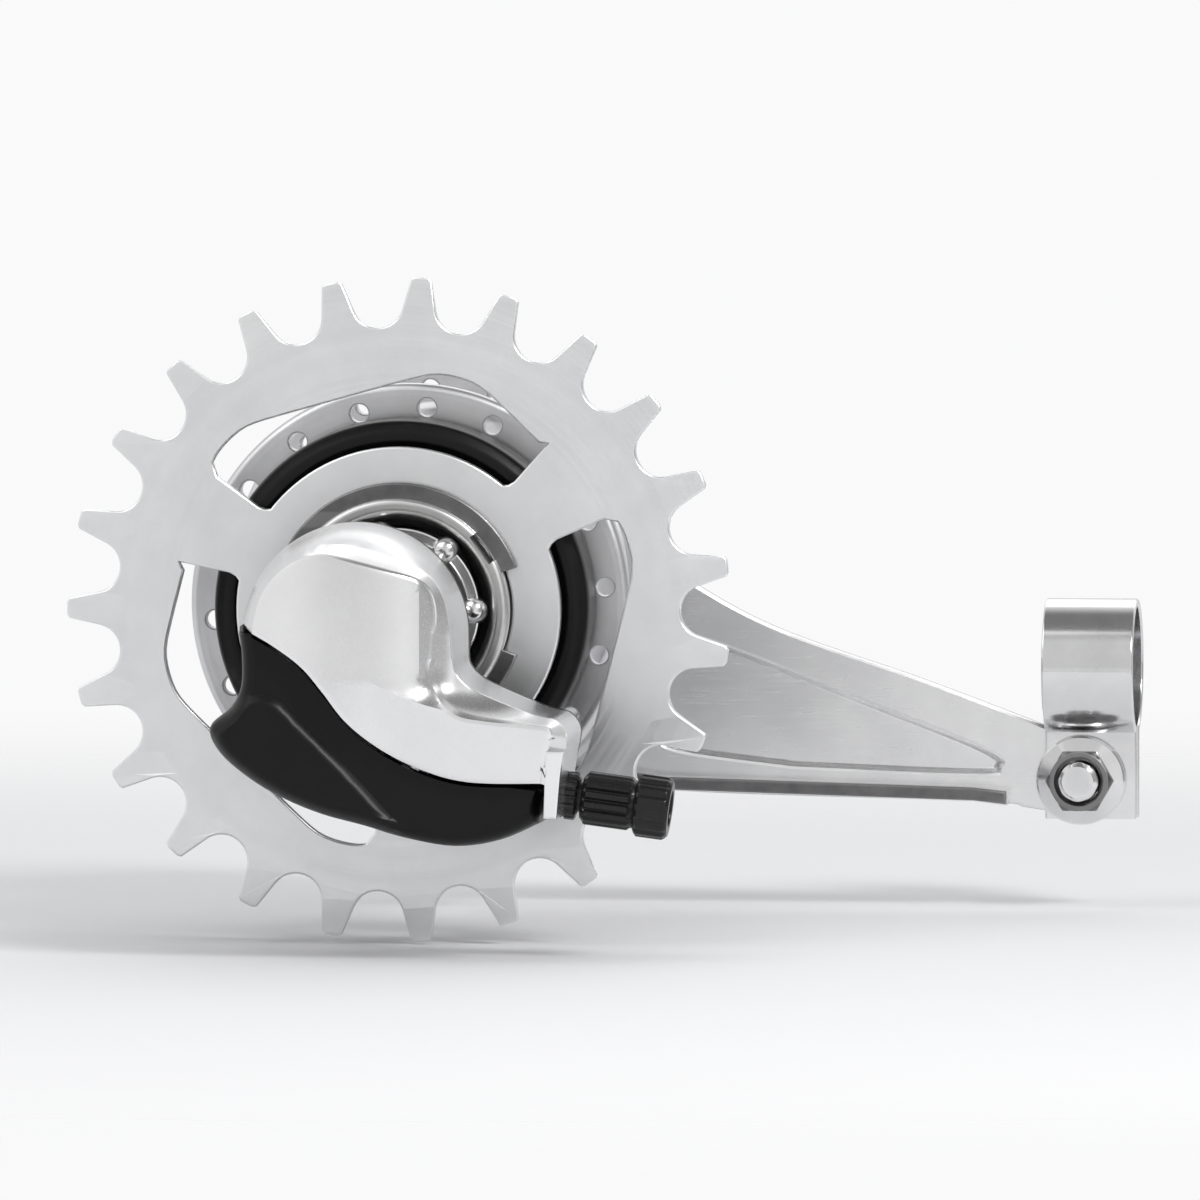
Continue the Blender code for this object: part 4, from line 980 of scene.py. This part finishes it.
def right_bearing():
    """The balls beside the right cone, in their cage."""
    form = Form().spun(softened(CAGE, 0.3, 2), 120)
    angles = [math.radians(angle) for angle in evenly(-BALL_POLE, BALL_POLE, 16)]
    ball = Form().spun([(BALL * math.sin(a), BALL * math.cos(a)) for a in angles], 32, closed=False)
    for number in range(BALLS):
        x, z = polar(BALL_CIRCLE, 360 * number / BALLS)
        start = len(form.points)
        form.points += [(px + x, py + BALL_ROW, pz + z) for px, py, pz in ball.points]
        form.faces += [tuple(start + i for i in face) for face in ball.faces]
    dress("right_ball_bearing", form, bright_steel, "ball_retainer_right", "right_balls", sharp=50)


# Hub shell

def hub_shell():
    form = Form()

    def lathe(rows, cut, steps):
        rings = form.turned(softened(rows, cut, steps, False), SHELL_SIDES)
        form.loft(rings)
        return rings

    first = lathe(SHELL_RIGHT, 0.6, 4)
    middle = lathe(SHELL_BARREL, 1.0, 5)
    last = lathe(SHELL_LEFT, 0.6, 4)
    pitch = 360 / SPOKES
    phases = (pitch / 4, pitch * 3 / 4)
    sides = ((first[-1], middle[0]), (middle[-1], last[0]))
    for centre, phase, (near, far) in zip(FLANGES, phases, sides):
        rim = both_ends(FLANGE_RIM, centre, centre)
        low, high = rim[0][0], rim[-1][0]
        rim = lathe(rim, 0.5, 4)
        ends = [[near, rim[0]], [far, rim[-1]]]
        for i in range(SPOKES):
            at = polar(SPOKE_CIRCLE, phase + pitch * i)
            rows = both_ends(SPOKE_HOLE, low, high)
            hole = [form.level(circle(radius, 20, at), along) for along, radius in rows]
            form.loft(hole)
            ends[0].append(hole[0])
            ends[1].append(hole[-1])
        for inner, outline, *holes in ends:
            form.cap(outline, inner, *holes)
    form.loft([last[-1], first[0]])
    dress("wheel_shell", form, cast_alloy, "hub_shell", "shell", sharp=30)


# Axle and its fittings

def threaded_rows(low, high, radius, pitch, depth, per_turn=8):
    count = max(2, int(round((high - low) / pitch * per_turn)))

    def reach(along):
        def at(angle):
            turn = (along / pitch - angle / 360) % 1
            return radius - depth * abs(2 * turn - 1)

        return at

    return [(along, reach(along)) for along in evenly(low, high, count)]


def flatted(radius, flat):
    def at(angle):
        reach = radius(angle) if callable(radius) else radius
        across = abs(math.cos(math.radians(angle)))
        return min(reach, flat / across) if across > 0.2 else reach

    return at


def axle():
    def flats(rows):
        return [(along, flatted(radius, AXLE_FLAT)) for along, radius in rows]

    rows = [(-84.0, AXLE_BORE), (-84.0, flatted(4.4, AXLE_END_FLAT))]
    rows += flats([(-83.4, 5.0), (-67.0, 5.0), *threaded_rows(-66.9, -56.0, *AXLE_THREAD)])
    rows += [*flats([(-55.5, 4.7), (-41.0, 5.0)]), (-40.5, 5.0), (45.5, 5.0)]
    rows += flats([(46, 5.0), (54.0, 4.7), *threaded_rows(54.5, 82.2, *AXLE_THREAD), (82.6, 4.5)])
    rows += [(83.0, flatted(4.1, AXLE_END_FLAT)), (83.0, 1.6), (81.6, 0.6)]
    form = Form()
    rings = form.turned(rows, AXLE_SIDES)
    form.loft(rings)
    form.cap(rings[-1])
    end = form.level(circle(AXLE_BORE, AXLE_SIDES), BORE_END)
    form.loft([end, rings[0]])
    form.cap(end)
    slot = Form().slab([block(*KEY_SLOT)], *KEY_SLOT_ENDS, edge=0.05, steps=1)
    dress("hub_axle", form, zinc_steel, "axle", sharp=25, cuts=[("DIFFERENCE", slot)])


def hex_reach(apothem, cone=None):
    def at(angle):
        reach = apothem / math.cos(math.radians(angle % 60 - 30))
        return min(reach, cone) if cone else reach

    return at


def hex_nut(face, length, apothem, bore, flange=None):
    """Rows of a hexagon nut along Y: rounded by a cone at its ends, on a flange if one is named."""
    step = math.copysign(1, length)
    corner = apothem / math.cos(math.radians(30))
    far = face + length
    whole = hex_reach(apothem)

    def cut(less):
        return hex_reach(apothem, corner - less)

    rows = [(face, bore + 0.5)]
    if flange:
        rows += [(face, flange - 0.4), (face + 0.3 * step, flange), (face + 1.3 * step, flange)]
        rows += [(face + 1.7 * step, flange - 0.3), (face + 2.1 * step, cut(0.15))]
        rows.append((face + 2.5 * step, whole))
    else:
        rows += [(face, hex_reach(apothem, apothem * 1.02)), (face + 0.35 * step, cut(0.5))]
        rows.append((face + 0.8 * step, whole))
    rows += [(far - 1.0 * step, whole), (far - 0.7 * step, cut(0.2)), (far - 0.35 * step, cut(0.65))]
    rows += [(far - 0.06 * step, hex_reach(apothem, apothem * 1.01)), (far, apothem * 0.97)]
    rows += [(far, bore + 0.5), (far - 0.5 * step, bore), (face + 0.5 * step, bore)]
    return rows


def axle_fittings():
    for side, sign in (("right", -1), ("left", 1)):
        inner = RIGHT_LOCKNUT if sign < 0 else ARM_FACE + ARM_THICK + GAP
        lock = hex_nut(sign * FRAME_FACE, sign * (inner - FRAME_FACE), LOCKNUT_APOTHEM, NUT_BORE)
        dress(f"{side}_lock_nut", Form().spun(lock, NUT_SIDES), zinc_steel, f"{side}_locknut", sharp=28)
        nut = hex_nut(sign * NUT_FACE, sign * NUT_LENGTH, NUT_APOTHEM, NUT_BORE, NUT_COLLAR)
        dress(f"{side}_frame_nut", Form().spun(nut, NUT_SIDES), bright_steel, f"{side}_axle_nut", sharp=28)
        face = sign * WASHER_FACE
        bore = [polar(flatted(NUT_BORE, WASHER_FLAT)(angle), angle) for angle in evenly(0, 360, 72)[:-1]]
        ends = sorted((face, face + sign * WASHER_THICK))
        washer = Form().slab([circle(WASHER_RADIUS, 120), bore], *ends, edge=0.35)
        ends = sorted((face - sign * TAB_DEPTH, face + sign * TAB_OVERLAP))
        tab = Form().slab([block(*WASHER_TAB)], *ends, edge=0.4)
        node = f"{side}_nonturn_washer"
        dress(f"{side}_tab_washer", washer, zinc_steel, node, sharp=30, cuts=[("UNION", tab)])
    lathed("brake_side_cone", LEFT_CONE, zinc_steel, "left_cone")
    lathed("brake_side_cap", LEFT_CAP, bright_steel, "left_dust_cap", cut=0.5, sides=128)


def clutch_spring():
    low, high = SPRING
    form = Form()
    rings = []
    for i, along in enumerate(evenly(low, high, SPRING_TURNS * SPRING_STEPS)):
        ring = []
        for reach, rise in circle(SPRING_WIRE, SPRING_SIDES):
            x, z = polar(SPRING_RADIUS + reach, 360 / SPRING_STEPS * i)
            ring.append((x, along + rise, z))
        rings.append(form.ring(ring))
    form.loft(rings)
    form.faces += [tuple(rings[0]), tuple(rings[-1])]
    coil = dress("clutch_coil_spring", form, bright_steel, "clutch_spring", sharp=50)
    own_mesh(coil)


# Brake arm

def brake_arm():
    outline = arc(ARM_DISC, *ARM_DISC_ARC, 80) + smooth_through(ARM_UPPER, 10)
    outline += arc(ARM_TIP, *ARM_TIP_ARC, 24, ARM_END) + smooth_through(ARM_LOWER, 8)
    bore = circle(NUT_BORE, 64)
    bolt = circle(CLIP_HOLE, 40, ARM_END)
    recess = [point for run in RECESS for point in smooth_through(run, 6)[:-1]]
    form = Form()
    faces = []
    for along, side in ((ARM_FACE, -1), (ARM_FACE + ARM_THICK, 1)):
        loops = []
        for number, loop in enumerate((outline, bore, bolt)):
            sign = 1 if number == 0 else -1
            rings = [form.level(inset(loop, far * sign), along - side * rise) for rise, far in ARM_EDGE]
            form.loft(rings)
            loops.append(rings)
        dish = [form.level(inset(recess, far), along + sink) for far, sink in RECESS_WALL]
        form.loft(dish)
        form.cap(dish[-1])
        form.cap(*[rings[-1] for rings in loops], dish[0])
        faces.append(loops)
    for front, rear in zip(*faces):
        form.loft([front[0], rear[0]])
    fold = list(ARM_LIP) + [(x, z + LIP_HEIGHT) for x, z in reversed(ARM_LIP)]
    lip = Form().slab([fold], ARM_FACE - LIP_WIDTH, ARM_FACE + 1, edge=0.5, steps=4)
    arm = dress("reaction_arm", form, pressed_steel, "brake_arm", sharp=32, cuts=[("UNION", lip)])
    # Painted shade: the lip's front faces take the dark material as the shadowed slit along the arm's lower
    # edge
    paint_shade(arm, ARM_FACE - LIP_WIDTH + 0.1)


def arm_clip():
    x, y, z = CLIP_CENTRE
    ear = ARM_THICK / 2 + GAP
    out = ear + CLIP_SHEET
    radius = CLIP_BORE + CLIP_SHEET
    foot = ARM_END[1] - z - CLIP_EAR
    opening = math.degrees(math.asin(ear / CLIP_BORE))
    outer_opening = math.degrees(math.asin(out / radius))
    outline = arc(radius, 270 + outer_opening, 630 - outer_opening, 96) + [(-out, foot), (-ear, foot)]
    outline += arc(CLIP_BORE, 630 - opening, 270 + opening, 96) + [(ear, foot), (out, foot)]
    strap = Form().slab([outline], -CLIP_HALF_WIDTH, CLIP_HALF_WIDTH)
    place = Matrix.Translation(Vector(CLIP_CENTRE) * MM) @ Matrix.Rotation(math.radians(-90), 4, "Z")
    offset = Matrix.Translation((0, ARM_END[0] - x, ARM_END[1] - z))
    hole = drill(CLIP_HOLE, 40, offset @ Matrix.Rotation(math.radians(90), 4, "Z"))
    dress("frame_clip", strap, bright_steel, "brake_arm_clip", "axle", place, 30, [("DIFFERENCE", hole)])
    at = Matrix.Translation(Vector((ARM_END[0], 0, ARM_END[1])) * MM)
    head = y + ear + CLIP_SHEET + GAP
    nut_face = y - ear - CLIP_SHEET - GAP
    socket = hex_reach(2.4)
    rows = [(nut_face - 7.0, 1.5), (nut_face - 7.0, 2.4)]
    rows += threaded_rows(nut_face - 6.6, nut_face - 0.2, 3.0, 1.0, 0.5)
    rows += [(nut_face, 2.9), (head, 2.9), (head, 4.6), (head + 0.3, 4.9), (head + 2.8, 4.9)]
    rows += [(head + 3.6, 4.6), (head + 4.0, 4.0), (head + 4.0, socket), (head + 1.6, socket)]
    screw = Form().spun(rows, 96, closed=False)
    dress("clip_screw", screw, bright_steel, "clip_bolt", "axle", at, 28)
    nut = Form().spun(hex_nut(nut_face, *CLIP_NUT), NUT_SIDES)
    made = dress("clip_hex_nut", nut, bright_steel, "clip_nut", "axle", at, 28)
    # Painted shade: the nut's outer end takes the dark material as shadow on its hex
    paint_shade(made, nut_face - CLIP_NUT_SHADE_START)


for make in (
    shift_cover, cover_end_bar, shift_housing, cable_adjuster, sprocket, drive_side, right_bearing, hub_shell,
    axle, axle_fittings, clutch_spring, brake_arm, arm_clip,
):
    make()

# CAD nodes that stay: each takes the finish of its slot
KEPT_FINISH = {
    "grey_steel": zinc_steel, "bright_steel": bright_steel, "dark_steel": dark_steel,
    "bronze": sintered_bronze, "black_plastic": black_plastic, "alloy": cast_alloy,
    "satin_silver": satin_silver,
}
for name, node in frame["nodes"].items():
    node.data.materials.clear()
    node.data.materials.append(KEPT_FINISH[slots[name]])

# Floor, light and camera

FLOOR = -50.6
FLOOR_REACH, FLOOR_SIDES = 600.0, 96
# The floor fades out between these shares of its reach
FLOOR_FADE = (0.3, 0.98)
STAND = (26.9, -8.0, -0.5)
AZIMUTH, ELEVATION = 5.5, 3.2
CAMERA_DISTANCE = 7000.0
VIEW_WIDTH = 182.0
SENSOR = 36.0
# Soft lamps, in metres: place, aim, size, and power in watts
LAMPS = {
    "key": ((-0.55, -0.5, 0.95), (0.02, 0, 0), (0.9, 0.9), 3.0),
    "ridge": ((0.68, -0.72, 0.70), (0.0, -0.09, -0.02), (0.35, 0.35), 7.0),
    "rear": ((0.1, 0.8, 0.6), (0.02, 0, 0), (0.9, 0.6), 1.6),
}


def plain_floor():
    """A pale disc under the object that fades out into the background."""
    floor = bpy.data.meshes.new("floor")
    low = FLOOR * MM
    ring = circle(FLOOR_REACH * MM, FLOOR_SIDES)
    floor.from_pydata([(x + STAND[0] * MM, y, low) for x, y in ring], [], [tuple(range(FLOOR_SIDES))])
    obj = placed("floor", floor)
    made, tree, shader = new_material("pale_floor")
    coords = linked(tree, "TexCoord").outputs["Object"]
    tone = mixed(tree, noise(tree, coords, 3.0, detail=2.0), (0.80, 0.80, 0.81, 1), (0.84, 0.84, 0.84, 1))
    flat = vector(tree, "ADD", [(0, coords), (1, (-STAND[0] * MM, 0, -low))])[0]
    away = vector(tree, "LENGTH", [(0, flat)])["Value"]
    near, far = [share * FLOOR_REACH * MM for share in FLOOR_FADE]
    fade = mapped(tree, away, near, far, 1.0, 0.0, interpolation_type="SMOOTHSTEP")
    plug(tree, shader, [("Roughness", 0.75), ("Base Color", tone), ("Alpha", fade)])
    obj.data.materials.append(made)


def soft_light(name, at, aim, size, power):
    lamp = bpy.data.lights.new(name, "AREA")
    lamp.shape = "RECTANGLE"
    lamp.size, lamp.size_y = size
    lamp.energy = power
    obj = placed(name, lamp)
    obj.location = at
    obj.rotation_euler = (Vector(aim) - Vector(at)).to_track_quat("-Z", "Y").to_euler()


def studio():
    """Pale to the camera, even to dull surfaces, and for mirrors a room with light and dark sides."""
    world = bpy.data.worlds.new("studio")
    bpy.context.scene.world = world
    world.use_nodes = True
    tree = world.node_tree
    tree.nodes.clear()
    heading = linked(tree, "SeparateXYZ", [(0, linked(tree, "TexCoord").outputs["Generated"])]).outputs

    def ramp(axis, *values):
        return mapped(tree, heading[axis], *values, interpolation_type="SMOOTHSTEP")

    def joined(operation, first, second):
        return linked(tree, "Math", [(0, first), (1, second)], operation=operation).outputs[0]

    def background(colour, strength):
        return linked(tree, "Background", [("Color", colour), ("Strength", strength)]).outputs[0]

    def either(factor, first, second):
        return linked(tree, "MixShader", [(0, factor), (1, first), (2, second)]).outputs[0]

    # In front it is lightest on the left, and dark at the far right and overhead; behind it is light
    middle = joined("ADD", ramp("X", -0.36, -0.1, 0.86, 0.69), ramp("X", 0.14, 0.3, 0.0, 0.2))
    darker = joined("MULTIPLY", ramp("X", 0.4, 0.78, 1.0, 0.4), ramp("Z", 0.7, 0.93, 1.0, 0.3))
    front, behind = joined("MULTIPLY", middle, darker), ramp("X", 0.42, 0.8, 0.74, 0.6)
    level = linked(tree, "Mix", [("Factor", ramp("Y", 0.2, 0.55)), ("A", front), ("B", behind)]).outputs[0]
    path = linked(tree, "LightPath").outputs
    lit = background((0.97, 0.98, 1.0, 1), 0.55)
    seen = background((0.95, 0.95, 0.955, 1), 1.0)
    softly = either(path["Is Glossy Ray"], lit, background(level, 1.0))
    clear = joined("MAXIMUM", path["Is Camera Ray"], path["Is Transmission Ray"])
    linked(tree, "OutputWorld", [(0, either(clear, softly, seen))])
    for name, values in LAMPS.items():
        soft_light(name, *values)


def photo_camera():
    lens = bpy.data.cameras.new("photo_camera")
    obj = placed("photo_camera", lens)
    turn, lift = math.radians(AZIMUTH), math.radians(ELEVATION)
    away = Vector((math.sin(turn) * math.cos(lift), -math.cos(turn) * math.cos(lift), math.sin(lift)))
    obj.location = (Vector(STAND) + away * CAMERA_DISTANCE) * MM
    obj.rotation_euler = (-away).to_track_quat("-Z", "Y").to_euler()
    lens.sensor_width = SENSOR
    lens.lens = SENSOR * CAMERA_DISTANCE / VIEW_WIDTH
    lens.clip_start, lens.clip_end = 0.05, 60.0
    bpy.context.scene.camera = obj


plain_floor()
studio()
photo_camera()
bpy.context.scene.view_settings.view_transform = "Standard"
